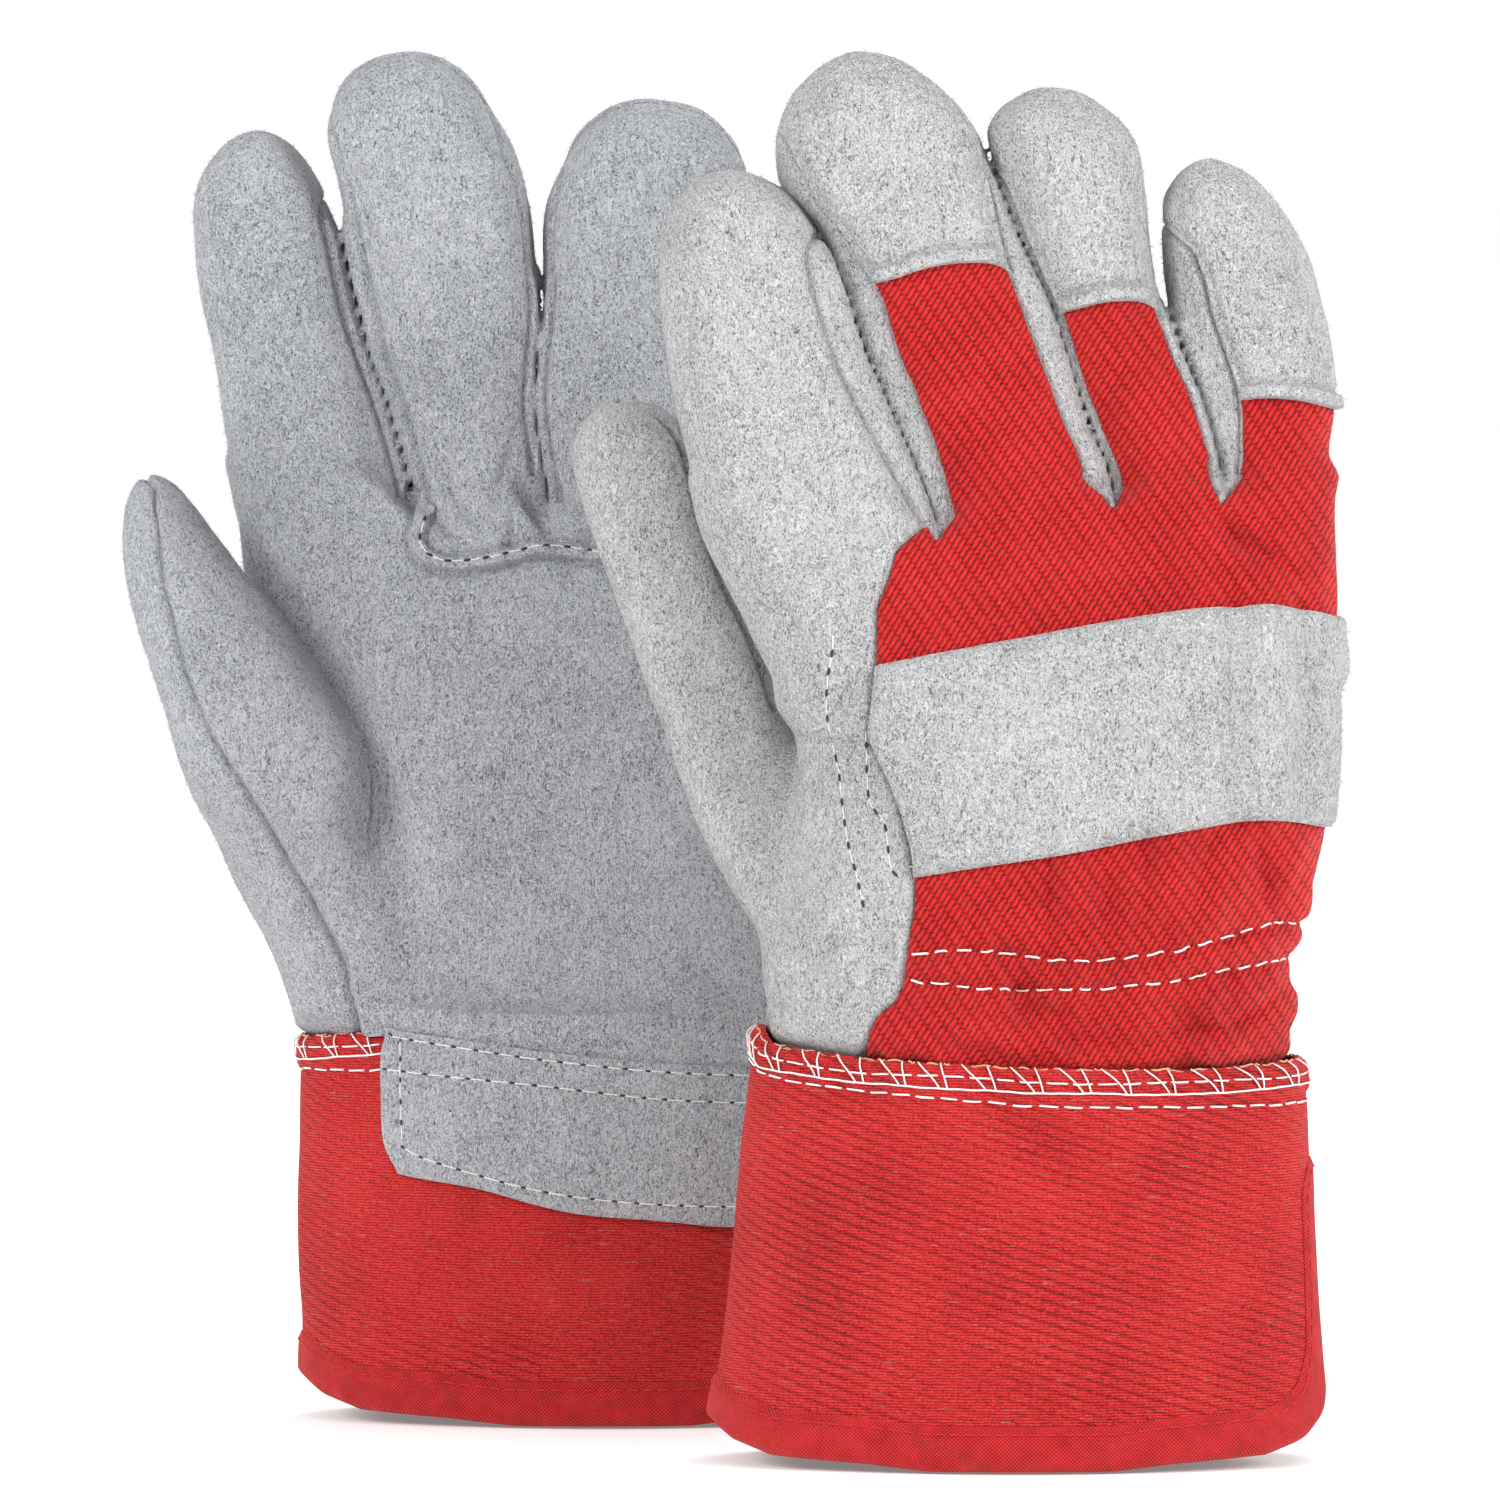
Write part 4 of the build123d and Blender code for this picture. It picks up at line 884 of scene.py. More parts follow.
def tape(name, deep, mid, light):
    """Bias binding: very fine crossed twill, darker than the cuff."""
    m, nt, b = new_mat(name)
    s = sep(nt, attr(nt, "cloth").outputs["Vector"])
    co = node(nt, "ShaderNodeTexCoord").outputs["Object"]
    mm = scaled(nt, co, (1000, 1000, 1000))
    a = val(nt, "FRACT", val(nt, "DIVIDE", val(nt, "ADD", s[0], s[1]), 0.74))
    c = val(nt, "FRACT", val(nt, "DIVIDE", val(nt, "SUBTRACT", s[0], s[1]), 0.74))
    at_ = val(nt, "ABSOLUTE", val(nt, "SUBTRACT", val(nt, "MULTIPLY", a, 2), 1))
    ct = val(nt, "ABSOLUTE", val(nt, "SUBTRACT", val(nt, "MULTIPLY", c, 2), 1))
    h = val(nt, "MULTIPLY", val(nt, "SUBTRACT", 1.0, val(nt, "POWER", at_, 2.0)), val(nt, "SUBTRACT", 1.0, val(nt, "POWER", ct, 2.0)))
    tone = val(nt, "ADD", val(nt, "MULTIPLY", h, 0.55), val(nt, "MULTIPLY", noise(nt, mm, 0.25, 3, 0.6), 0.5))
    col = ramp(nt, tone, [(0.15, deep), (0.45, mid), (0.85, light)])
    nt.links.new(col, b.inputs["Base Color"])
    b.inputs["Roughness"].default_value = 0.8
    b.inputs["Specular IOR Level"].default_value = 0.25
    b.inputs["Sheen Weight"].default_value = 0.15
    b.inputs["Sheen Tint"].default_value = (1.0, 0.5, 0.45, 1)
    bump(nt, b, h, 0.00022, 0.9)
    return m


def plain_cloth(name, deep, light, scale=1.6, rough=0.9, dist=0.0003):
    m, nt, b = new_mat(name)
    co = node(nt, "ShaderNodeTexCoord").outputs["Object"]
    mm = scaled(nt, co, (1000, 1000, 1000))
    a = noise(nt, mm, scale, 3, 0.65)
    w = node(nt, "ShaderNodeTexWave")
    nt.links.new(mm, w.inputs["Vector"])
    w.inputs["Scale"].default_value = 0.9
    w.inputs["Distortion"].default_value = 1.5
    t = val(nt, "ADD", val(nt, "MULTIPLY", a, 0.7), val(nt, "MULTIPLY", w.outputs["Fac"], 0.3))
    nt.links.new(ramp(nt, t, [(0.25, deep), (0.7, light)]), b.inputs["Base Color"])
    b.inputs["Roughness"].default_value = rough
    b.inputs["Specular IOR Level"].default_value = 0.2
    bump(nt, b, t, dist, 0.8)
    return m


def srgb(r, g, b):
    f = lambda c: (c / 255 / 12.92) if c / 255 <= 0.04045 else ((c / 255 + 0.055) / 1.055) ** 2.4
    return (f(r), f(g), f(b))


MAT = {
    "right_leather": suede("suede_light", srgb(134, 135, 138), srgb(206, 206, 207), srgb(240, 240, 240), srgb(226, 206, 194)),
    # the left glove is the same suede as the right, painted darker and bluer: painted shade
    "left_leather": suede("suede_blue_grey", srgb(127, 131, 137), srgb(195, 198, 204), srgb(229, 231, 236), srgb(190, 176, 178)),
    "drill": twill("red_drill", srgb(80, 6, 10), srgb(170, 19, 21), srgb(215, 51, 50)),
    "canvas": canvas("rubberised_canvas", srgb(108, 12, 14), srgb(183, 25, 27), srgb(215, 58, 56)),
    "tape": tape("binding_tape", srgb(100, 8, 12), srgb(176, 20, 26), srgb(214, 46, 50)),
    "thread": plain_cloth("sewing_thread", srgb(196, 188, 184), srgb(246, 243, 240), 6.0, 0.7, 0.00005),
    "thread_red": plain_cloth("red_thread", srgb(150, 24, 28), srgb(214, 52, 52), 6.0, 0.7, 0.00005),
    "thread_grey": plain_cloth("grey_thread", srgb(120, 124, 128), srgb(190, 194, 198), 6.0, 0.7, 0.00005),
    "lining": plain_cloth("lining_fabric", srgb(176, 170, 160), srgb(226, 221, 212), 1.4, 0.95, 0.0004),
    "elastic": plain_cloth("elastic", srgb(180, 176, 170), srgb(236, 233, 228), 2.0, 0.9, 0.0004),
}


# ------------------------------------------------------------------ panels of a glove
def edges_of(side, name):
    """Left and right silhouette of a finger as x by height, and its top."""
    p = spline(OUT[side][name], False, 0.8)
    k = int(np.argmax(p[:, 1]))
    L, R = p[:k + 1], p[k:][::-1]
    L = L[np.argsort(L[:, 1], kind="stable")]
    R = R[np.argsort(R[:, 1], kind="stable")]
    return L, R, p[k]


def lerp(a, b, t):
    return a + (b - a) * t


def seam_val(spec, z):
    return tab(spec, z) if isinstance(spec, list) else np.full_like(z, spec)


def joint_line(side, f):
    j = next(q for q in frame["joints"] if q["name"] == f"{side}_{f}_flex")
    ax = np.array(j["axis"], float)
    d = np.array([ax[2], 0, -ax[0]]) * PALM[side]
    return np.array(j["pos_m"], float) * 1000 - SH, d / np.linalg.norm(d)


def field_set(side, V, terr):
    x, z = V[:, 0], V[:, 2]
    pw = PALM[side] * (V[:, 1] - Y0[side])
    fs = {"terr": terr, "w": -pw}
    # what is kept near the cuff: the tongue outside it, the leather hidden inside it, all above it
    (z0, x0, a0, b0), (z1, x1, a1, b1) = CUFF[side]
    t = (z - z0) / (z1 - z0)
    e = np.sqrt(((x - x0 - (x1 - x0) * t) / (a0 + (a1 - a0) * t)) ** 2 + ((V[:, 1] - Y0[side]) / (b0 + (b1 - b0) * t)) ** 2)
    tg = dist2(spline(tongue(side), True, 1.0), x, z)
    ze = np.interp(x, [p[0] for p in CUFF_EDGE[side]], [p[1] for p in CUFF_EDGE[side]])
    k1 = np.minimum(np.minimum(tg, (e - 0.985) * 40), pw - 6)
    k2 = np.minimum((0.97 - e) * 40, z - 63.5)
    fs["keep"] = np.maximum(np.maximum(k1, k2), z - ze + 1.0)
    fs["tong"] = np.where(z > 74, np.maximum(tg, 3.0), tg)
    ra, rb = [(-92, 72.5), (-71.5, 71.9), (-69, 71.2), (-55, 69.2), (-42, 67.4), (-20, 65.0), (-1, 63.8), (9, 63.8), (30, 63.8)], None
    fx = x if side == "left" else -(x - 0.5 * (CUFF["right"][0][1] + CUFF["right"][1][1])) + 0.5 * (CUFF["left"][0][1] + CUFF["left"][1][1])
    fs["patch"] = np.minimum(np.interp(fx, [q[0] for q in ra], [q[1] for q in ra]) + 1.6 - z, np.minimum(tg + 0.001, pw - 6))
    for i, f in enumerate(FINGERS):
        L, R, tip = edges_of(side, f)
        XL, XR = np.interp(z, L[:, 1], L[:, 0]), np.interp(z, R[:, 1], R[:, 0])
        off = DEP[side][f][0]
        w = np.interp(z, [r[0] for r in off], [r[1] for r in off]) - pw
        s = SEAM[side][f]
        c = (XL + XR) / 2
        kap = smooth(tip[1] - 19, tip[1] - 3, z)
        big = np.full_like(z, 30.0)
        dL = x - XL - seam_val(s["dL"], z) if s["dL"] is not None else big
        dR = XR - seam_val(s["dR"], z) - x if s["dR"] is not None else big
        pL = x - XL - seam_val(s["pL"], z) if s["pL"] is not None else big
        pR = XR - seam_val(s["pR"], z) - x if s["pR"] is not None else big
        if f == "index":
            D = np.maximum(np.maximum(np.minimum(dR, w + 1), np.minimum(pR, -w + 1)), c - x)
            D = lerp(D, 6.0, kap)
            FL = None
        elif f == "little":
            D = np.minimum(dL, w + 1.5)
            D = lerp(D, w, kap)
            FL = np.maximum(np.minimum(-dL, w + 2), np.minimum(-pL, -w + 2))
            FL = np.minimum(FL, c - x)
            FL = lerp(FL, -4.0, kap)
        else:
            D = np.minimum(np.minimum(dL, dR), w + 0.6)
            D = lerp(D, w, kap)
            FL = None
            P = np.minimum(np.minimum(pL, pR), -w + 0.6)
            P = lerp(P, -w, kap)
            fs[f + "P"] = P
        fs[f + "D"] = D
        if FL is not None:
            fs[f + "FL"] = FL
        if f in CAPLINE[side]:
            cl = spline(CAPLINE[side][f], False, 1.0)
            fs[f + "C"] = (z - np.interp(x, cl[:, 0], cl[:, 1]))
        p, d = joint_line(side, f)
        fs[f + "s"] = x * d[0] + z * d[2]
        fs[f + "e"] = (XL, XR, w)
    # which finger column a point is in
    col = np.zeros(len(V), int)
    for i in range(3):
        sx = np.interp(z, [p[0] for p in SEPS[side][i]], [p[1] for p in SEPS[side][i]])
        col += x > sx
    fs["col"] = col
    ph = np.zeros(len(V))
    tl = spline(TOPLINE[side], False, 1.0)
    BL = {}
    for i, f in enumerate(FINGERS):
        p, d = joint_line(side, f)
        cs = []
        for k in (i - 1, i):
            if 0 <= k < 3:
                zc = {"right": (175.4, 181.6, 183.6), "left": (177.6, 176.0, 172.4)}[side][k] + 1.2
                xc = np.interp(zc, [q[0] for q in SEPS[side][k]], [q[1] for q in SEPS[side][k]])
                cs.append(xc * d[0] + zc * d[2])
        s0 = max(cs)
        fs[f + "P0"] = fs[f + "s"] - s0
        ph = np.where(col == i, fs[f + "P0"], ph)
        base = p + d * (s0 - (p[0] * d[0] + p[2] * d[2]))
        BL[f] = (base, base + d * 26.0)
    fs["hand_top"] = ph
    p, d = joint_line(side, "thumb")
    s0 = p[0] * d[0] + p[2] * d[2] - (6.0 if side == "right" else 8.0)
    fs["thumbP0"] = x * d[0] + z * d[2] - s0
    base = p - d * (6.0 if side == "right" else 8.0)
    BL["thumb"] = (base, base + d * 24.0)
    BLENDS[side] = BL
    # thumb panels
    off = DEP[side]["thumb"][0]
    wt = pw - np.interp(z, [r[0] for r in off], [r[1] for r in off])
    xs = tab(THUMBSEAM[side], z)
    pt = spline(OUT[side]["thumb"], False, 0.8)
    k = int(np.argmax(pt[:, 1]))
    R = pt[k:][::-1]
    R = R[np.argsort(R[:, 1], kind="stable")]
    XRt = np.interp(z, R[:, 1], R[:, 0])
    if side == "right":
        fs["thumbF"] = np.maximum(np.minimum(x - xs, wt - 2.0), np.minimum(x - (XRt - 2.2), 2.0))
        fs["wing"] = np.minimum(xs - x, wt - 2.0)
    else:
        fs["thumbF"] = np.maximum(np.minimum(x - xs, wt + 3.0), x - (XRt - 3.0))
        fs["wing"] = np.minimum(xs - x, pw + 4.0)
    # red back of the hand
    st = tab(STRIP[side], z)
    red = np.minimum(x - st, -pw + 1.5)
    # grey toes of the fourchettes between the fingers
    for k in range(3):
        a, b = FINGERS[k], FINGERS[k + 1]
        XRa = fs[a + "e"][1] - seam_val(SEAM[side][a]["dR"], z)
        XLb = fs[b + "e"][0] + seam_val(SEAM[side][b]["dL"], z)
        apex = {"right": (173.0, 179.0, 180.2), "left": (174.0, 172.0, 168.4)}[side][k]
        xa = np.interp(apex, [q[0] for q in SEPS[side][k]], [q[1] for q in SEPS[side][k]])
        g = smooth(apex, apex + 6, z)
        lo = lerp(np.full_like(z, xa), XRa, g)
        hi = lerp(np.full_like(z, xa), XLb, g)
        wedge = np.minimum(np.minimum(x - lo, hi - x) + np.clip(z - apex, -5, 0.6), 6.0)
        red = np.minimum(red, -wedge)
    fs["red"] = red
    sl = spline(STRAP_LOW[side], False, 2.0)
    su = spline(STRAP_TOP[side], False, 2.0)
    fs["strapL"] = z - np.interp(x, sl[:, 0], sl[:, 1])
    fs["strapU"] = np.interp(x, su[:, 0], su[:, 1]) - z
    fs["strap"] = np.minimum(np.minimum(fs["strapL"], fs["strapU"]), np.minimum(x - st, -pw + 4.5))
    gp = spline(GUNN[side], False, 1.2)
    gd = dist2(gp, x, z)
    fs["gunn"] = np.minimum(gd, pw - 1.0)
    g1 = spline(SHIR[side][0], False, 2.0)
    g2 = spline(SHIR[side][1], False, 2.0)
    fs["sh1"] = z - np.interp(x, g1[:, 0], g1[:, 1])
    fs["sh2"] = z - np.interp(x, g2[:, 0], g2[:, 1])
    return fs


def base_relief(side, V, fs, N):
    """Slack, folds and gathers of the sewn glove before the panels are cut."""
    x, z = V[:, 0], V[:, 2]
    P = V.copy()
    P[:, 1] -= Y0[side]
    seed = 3 if side == "right" else 11
    w = fs["w"]
    d = 0.55 * vnoise(P / np.array([17.0, 17.0, 24.0]), seed) + 0.30 * vnoise(P / 8.5, seed + 1) + 0.10 * vnoise(P / 3.4, seed + 2)
    d *= smooth(64, 84, z)
    back = smooth(-2, 4, w) * smooth(0, 6, x - tab(STRIP[side], z))
    # gathers at the wrist, pinched at the two rows of elastic stitching
    s1, s2 = fs["sh1"], fs["sh2"]
    Q = np.stack([x / 5.2, z / 21.0, np.zeros_like(x)], 1)
    Q[:, 0] += 0.5 * vnoise(np.stack([x / 16, z / 12, x * 0], 1), seed + 5)
    gath = vnoise(Q, seed + 6) + 0.55 * vnoise(Q * 2.1 + 7.3, seed + 7)
    zone = np.exp(-((s2 - 3.0) / 11.5) ** 2)
    puff = 0.62 - 1.9 * np.abs(vnoise(Q * 0.8 + 3.1, seed + 12))
    d += back * zone * (gath * 1.5 + puff * 1.7)
    low = smooth(70, 76, z) * (1 - smooth(84, 89, z))
    lump = vnoise(np.stack([x / 12 + z / 10, z / 9, x * 0], 1), seed + 8)
    d += back * low * (1.1 - 3.6 * np.abs(lump)) * 1.5
    d -= back * (1.15 * np.exp(-(s1 / 0.95) ** 2) + 1.15 * np.exp(-(s2 / 0.95) ** 2))
    d += back * 0.9 * np.exp(-((s1 + 2.9) / 2.1) ** 2)
    d += back * smooth(96, 104, z) * (1 - smooth(113, 121, z)) * 1.7 * vnoise(np.stack([x / 6.2, z / 17, x * 0], 1), seed + 9)
    # puckers along the side of the strip
    if side == "right":
        front = smooth(0, 5, w)
        d -= front * 1.9 * np.exp(-(((x - 24.5) / 3.2) ** 2 + ((z - 96.0) / 4.0) ** 2))
        d -= front * 1.1 * np.exp(-(((x - 17.5 - (z - 97) * 0.9) / 2.6) ** 2)) * np.exp(-((z - 98.0) / 9.0) ** 2)
        d += front * 1.0 * np.exp(-(((x - 14.0) / 5.0) ** 2 + ((z - 104.0) / 7.0) ** 2))
        # joined strip and its two fold lines up the index finger
        d -= front * 0.85 * np.exp(-((z - 134.6 - 0.05 * (x - 15)) / 0.75) ** 2) * smooth(6, 10, x) * (1 - smooth(22, 24, x))
        d -= front * 0.7 * smooth(140, 150, z) * (1 - smooth(172, 180, z)) * np.exp(-(((x - 20.0 + (z - 150) * 0.10) / 3.4) ** 2))
        # wrinkle fan on the red back below the little finger
        # strap bends over the edge of the hand
        d -= front * 2.3 * smooth(114, 120, z) * (1 - smooth(160, 166, z)) * (np.exp(-((x - 93.5) / 2.4) ** 2) * 0.7 - 0.7 * np.exp(-((x - 99.5) / 3.4) ** 2) + 0.8 * np.exp(-((x - 106.5) / 2.6) ** 2))
        for ax, az, ang, ln, am in ((98, 171, -35, 16, 1.6), (92, 176, -50, 12, 1.2), (104, 168, -30, 12, 1.2), (84, 78, 12, 12, 1.8), (60, 77, -10, 14, 1.5), (98, 82, 40, 9, 1.5),
                                    (38, 104, 80, 8, 1.3), (58, 108, 95, 8, 1.2), (76, 110, 85, 9, 1.3), (88, 111, 75, 9, 1.4), (99, 110, 100, 9, 1.6), (105, 106, 70, 8, 1.3),
                                    (84, 172, -48, 12, 1.1), (58, 168, 60, 10, 0.8), (44, 160, 75, 9, 0.8), (36, 158, 60, 9, 0.9), (32, 204, 68, 12, 0.6), (72, 206, 65, 12, 0.7)):
            c, s = math.cos(math.radians(ang)), math.sin(math.radians(ang))
            u, v = (x - ax) * c + (z - az) * s, -(x - ax) * s + (z - az) * c
            d -= front * am * np.exp(-(v / 1.7) ** 2) * np.exp(-(u / ln) ** 2)
    else:
        pal = smooth(0, 5, -w) * (fs["terr"] < 0)
        d -= pal * 0.9 * np.exp(-(((x + 66 - (z - 130) * 0.5) / 6.0) ** 2)) * np.exp(-((z - 146.0) / 10.0) ** 2)
        d -= pal * 1.0 * np.exp(-(((x + 68) / 3.0) ** 2 + ((z - 100.0) / 8.0) ** 2))
        d += pal * 0.8 * np.exp(-(((x + 60) / 7.0) ** 2 + ((z - 112.0) / 14.0) ** 2))
        # puckers in the middle and ring bases above their seam
        # shadowed fold where the thumb meets the palm
        fx = np.interp(z, [98, 107, 125, 141, 159, 168], [-71, -74, -80, -88, -98, -103])
        d -= smooth(0.35, 0.8, PALM[side] * N[:, 1]) * (fs["terr"] < 0.5) * 2.0 * np.exp(-((x - fx - 4.5) / 4.2) ** 2) * smooth(94, 108, z) * (1 - smooth(158, 170, z))
        d -= pal * 1.5 * np.exp(-(((x + 62 + (z - 90) * 0.15) / 7.0) ** 2)) * np.exp(-((z - 88.0) / 7.0) ** 2)
        for ax, az, ang, ln, am in ((-62, 174, -42, 7, 2.2), (-58, 178, -60, 6, 1.6), (-41.5, 174, -55, 7, 2.2), (-47, 170, 85, 4, 1.1), (-50, 180, 70, 9, 0.9), (-30, 172, 60, 8, 1.2), (-18, 170, 80, 7, 1.1)):
            c, s = math.cos(math.radians(ang)), math.sin(math.radians(ang))
            u, v = (x - ax) * c + (z - az) * s, -(x - ax) * s + (z - az) * c
            d -= pal * am * np.exp(-(v / 1.4) ** 2) * np.exp(-(u / ln) ** 2)
    return d


BASE = {}


def build_glove(side):
    V, N, T, terr = make_skin(side)
    fs = field_set(side, V, terr)
    d = base_relief(side, V, fs, N)
    V = V + N * d[:, None]
    names = [k for k in fs if k not in ("col",) and not isinstance(fs[k], tuple)]
    A = np.concatenate([V, N] + [fs[k][:, None] for k in names] + [fs["col"][:, None].astype(float)], 1)
    C = {k: 6 + i for i, k in enumerate(names)}
    C["col"] = 6 + len(names)
    # give each part its own column: no triangle spans two fingers above the webs
    colmin, colmax = A[T][:, :, C["col"]].min(1), A[T][:, :, C["col"]].max(1)
    T = T.astype(np.int64)
    # thumb
    A, P, Ng, _ = split(A, T, A[:, C["terr"]])
    A, P2, P3, _ = split(A, P, A[:, C["thumbP0"]])
    thumb = compact(A, P2)
    rest = compact(A, np.concatenate([Ng, P3]))
    parts = {"thumb": thumb}
    A, F = rest
    A, P, Ng, _ = split(A, F, A[:, C["hand_top"]])
    parts["hand"] = compact(A, Ng)
    cf = A[P][:, :, C["col"]]
    colr = np.rint(np.median(cf, axis=1)).astype(int)
    for i, f in enumerate(FINGERS):
        parts[f] = compact(A, P[colr == i])
    return parts, C


def finish_panel(M, C, side, seams, lift=0.0, rise=None, hem=None, depth=1.5, width=1.9, uvcols=None, extra=None, hemh=0.95):
    """Outer surface of a panel: turned-in seams, optional raised hem.
    seams and hem are field names or arrays measured in from the edge."""
    A, F = M
    cols = A.shape[1]
    ds = []
    for s in seams:
        f = A[:, C[s]] if isinstance(s, str) else s(A)
        ds.append(surf_dist((A, F), f))
    hd = None
    if hem is not None:
        f = A[:, C[hem]] if isinstance(hem, str) else hem(A)
        hd = surf_dist((A, F), f, 0.5)
    B = np.concatenate([A] + [q[:, None] for q in ds] + ([hd[:, None]] if hd is not None else []), 1)
    k = cols
    for i in range(len(ds)):
        for lv in (0.4, 0.95, 1.7):
            B, Pp, Nn, _ = split(B, F, B[:, k + i] - lv)
            F = np.concatenate([Pp, Nn])
    if hd is not None:
        for lv in (0.35, 2.6, 3.1, 3.7):
            B, Pp, Nn, _ = split(B, F, B[:, k + len(ds)] - lv)
            F = np.concatenate([Pp, Nn])
    B, F = compact(B, F)
    disp = np.zeros(len(B)) + lift
    if rise is not None:
        for s in rise:
            f = B[:, C[s]] if isinstance(s, str) else s(B)
            disp = disp * smooth(0.0, 3.2, f)
    edge = np.full(len(B), 9.0)
    for i in range(len(ds)):
        q = B[:, k + i]
        disp = disp - depth * np.clip(1 - q / width, 0, 1) ** 2
        edge = np.minimum(edge, q)
    if hd is not None:
        q = B[:, k + len(ds)]
        prof = hemh * smooth(-0.1, 0.5, q) * (1 - smooth(2.5, 3.6, q)) - 0.75 * np.exp(-((q - 3.3) / 0.6) ** 2) - 0.25 * (1 - smooth(0, 0.5, q))
        disp = disp + prof
        edge = np.minimum(edge, q)
    if extra is not None:
        disp = disp + extra(B)
    out = B[:, 0:3] + B[:, 3:6] * disp[:, None]
    on = vert_normals(out, F)
    flip = np.sign((on * B[:, 3:6]).sum(1).mean())
    uv = np.stack([B[:, 0], B[:, 2], B[:, 1]], 1) if uvcols is None else np.stack([B[:, C[k]] for k in uvcols], 1)
    base = B[:, :cols]
    n = base.shape[1]
    R = np.concatenate([base, out, on * flip, uv, edge[:, None]], 1)
    return (R, F), {"out": slice(n, n + 3), "on": slice(n + 3, n + 6), "uv": slice(n + 6, n + 9), "edge": n + 9}


def body_name(side, part):
    return f"{side}_{part}"


def place(ob, side, part, slot, *reps):
    if part == "hand":
        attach(ob, f"{side}_hand")
    else:
        s, e = BLENDS[side][part]
        tuple(to_row(s))
        tuple(to_row(e))
        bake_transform(ob)
    if reps:
        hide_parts(*reps)
    return ob


def merge(Ms):
    """Join part meshes of the same columns into one."""
    A = np.concatenate([m[0] for m in Ms])
    F, off = [], 0
    for m in Ms:
        F.append(m[1] + off)
        off += len(m[0])
    return A, np.concatenate(F)


PANEL = {}


def dress(side):
    parts, C = build_glove(side)
    L = MAT[side + "_leather"]
    ls = "suede_light" if side == "right" else "suede_blue_grey"
    S = side + "_"

    def put(name, part, M, slot, mat, reps=(), thick=1.25, **kw):
        M2, cols = finish_panel(M, C, side, **kw)
        ob = shell(S + name, M2[0], M2[1], thick, mat, cols, (0.5, 0.95, 0.06) if mat is L else (0.10, 0.8, 0.05))
        place(ob, side, part, slot, *[S + r for r in reps])
        PANEL[(side, name)] = (M2, cols, C, part)
        return ob

    # ---- hand
    H = parts["hand"]
    H = clip(H, H[0][:, C["keep"]])
    A, F = H
    A, redF, rest, _ = split(A, F, A[:, C["red"]])
    red = compact(A, redF)
    A, wingF, rest2, _ = split(A, rest, A[:, C["wing"]])
    wing = compact(A, wingF)
    A, gunF, palmF, _ = split(A, rest2, A[:, C["gunn"]])
    gun = compact(A, gunF)
    palm = compact(A, palmF)
    put("back_cloth", "hand", red, "red_drill", MAT["drill"], ("back_fabric",), 1.0, seams=["red"], width=1.5, depth=0.9)
    A, patF, plF, _ = split(palm[0], palm[1], palm[0][:, C["patch"]])
    patch, palm = compact(A, patF), compact(A, plF)
    put("palm_panel", "hand", palm, ls, L, ("palm_leather",), 1.4,
        seams=[lambda B: -B[:, C["red"]], lambda B: -B[:, C["wing"]]],
        extra=lambda B: -0.8 * np.exp(-((B[:, C["gunn"]] + 0.5) / 0.6) ** 2))
    put("palm_patch_leather", "hand", patch, ls, L, ("palm_patch",), 1.0, seams=["tong"], depth=0.7, width=1.3,
        extra=lambda B: 0.75 + 0.18 * vnoise(B[:, :3] / 6.0, 44))
    put("thumb_wing", "hand", wing, ls, L, ("thumb_gusset",), 1.4, seams=["wing"])
    put("finger_base_panel", "hand", gun, ls, L, (), 1.3, seams=[], hem="gunn", lift=0.35, hemh=1.25)
    # strap, laid over the red back and wrapped a little round the side
    st = clip(H, H[0][:, C["strap"]])
    put("strap_leather", "hand", st, ls, L, ("knuckle_strap",), -0.25,
        seams=[], lift=1.75, extra=lambda B: -0.9 * (1 - smooth(0, 0.9, B[:, C["strap"]])) + 0.12 * vnoise(B[:, :3] / 5.0, 21))
    # ---- thumb
    A, F = parts["thumb"]
    A, ff, bf, _ = split(A, F, A[:, C["thumbF"]])
    put("thumb_front_panel", "thumb", compact(A, ff), ls, L, ("thumb_front",), 1.3, seams=["thumbF"])
    put("thumb_back_panel", "thumb", compact(A, bf), ls, L, ("thumb_back",), 1.3, seams=[lambda B: -B[:, C["thumbF"]]])
    # ---- fingers
    A, F = parts["index"]
    A, df, rf, _ = split(A, F, A[:, C["indexD"]])
    put("index_wrap", "index", compact(A, df), ls, L, ("index_leather",), 1.3, seams=["indexD"])
    put("index_side_strip", "index", compact(A, rf), ls, L, ("index_fourchette",), 1.2, seams=[lambda B: -B[:, C["indexD"]]])
    for f in ("middle", "ring", "little"):
        A, F = parts[f]
        A, df, rf, _ = split(A, F, A[:, C[f + "D"]])
        D = compact(A, df)
        capf = D[0][:, C[f + "C"]]
        cap = clip(D, capf)
        cloth = clip(D, 3.0 - capf)
        put(f + "_tip_cap", f, cap, ls, L, (f + "_cap",), -0.15, seams=[f + "D"], lift=1.05, rise=[f + "D"], hem=f + "C", depth=1.0)
        put(f + "_back_cloth", f, cloth, "red_drill", MAT["drill"], (f + "_back",), 1.0, seams=[f + "D"], width=1.5, depth=0.9)
        if f == "little":
            A, lf, pf, _ = split(A, rf, A[:, C["littleFL"]])
            put("little_side_strip", f, compact(A, lf), ls, L, ("little_fourchette",), 1.2, seams=["littleFL", lambda B: -B[:, C["littleD"]]])
            put("little_front_panel", f, compact(A, pf), ls, L, ("little_front",), 1.3, seams=[lambda B: -B[:, C["littleFL"]], lambda B: -B[:, C["littleD"]]])
        else:
            A, pf, sf, _ = split(A, rf, A[:, C[f + "P"]])
            put(f + "_front_panel", f, compact(A, pf), ls, L, (f + "_front",), 1.3, seams=[f + "P"])
            put(f + "_side_strips", f, compact(A, sf), ls, L, (f + "_fourchettes",), 1.2,
                seams=[lambda B, f=f: -B[:, C[f + "P"]], lambda B, f=f: -B[:, C[f + "D"]]])
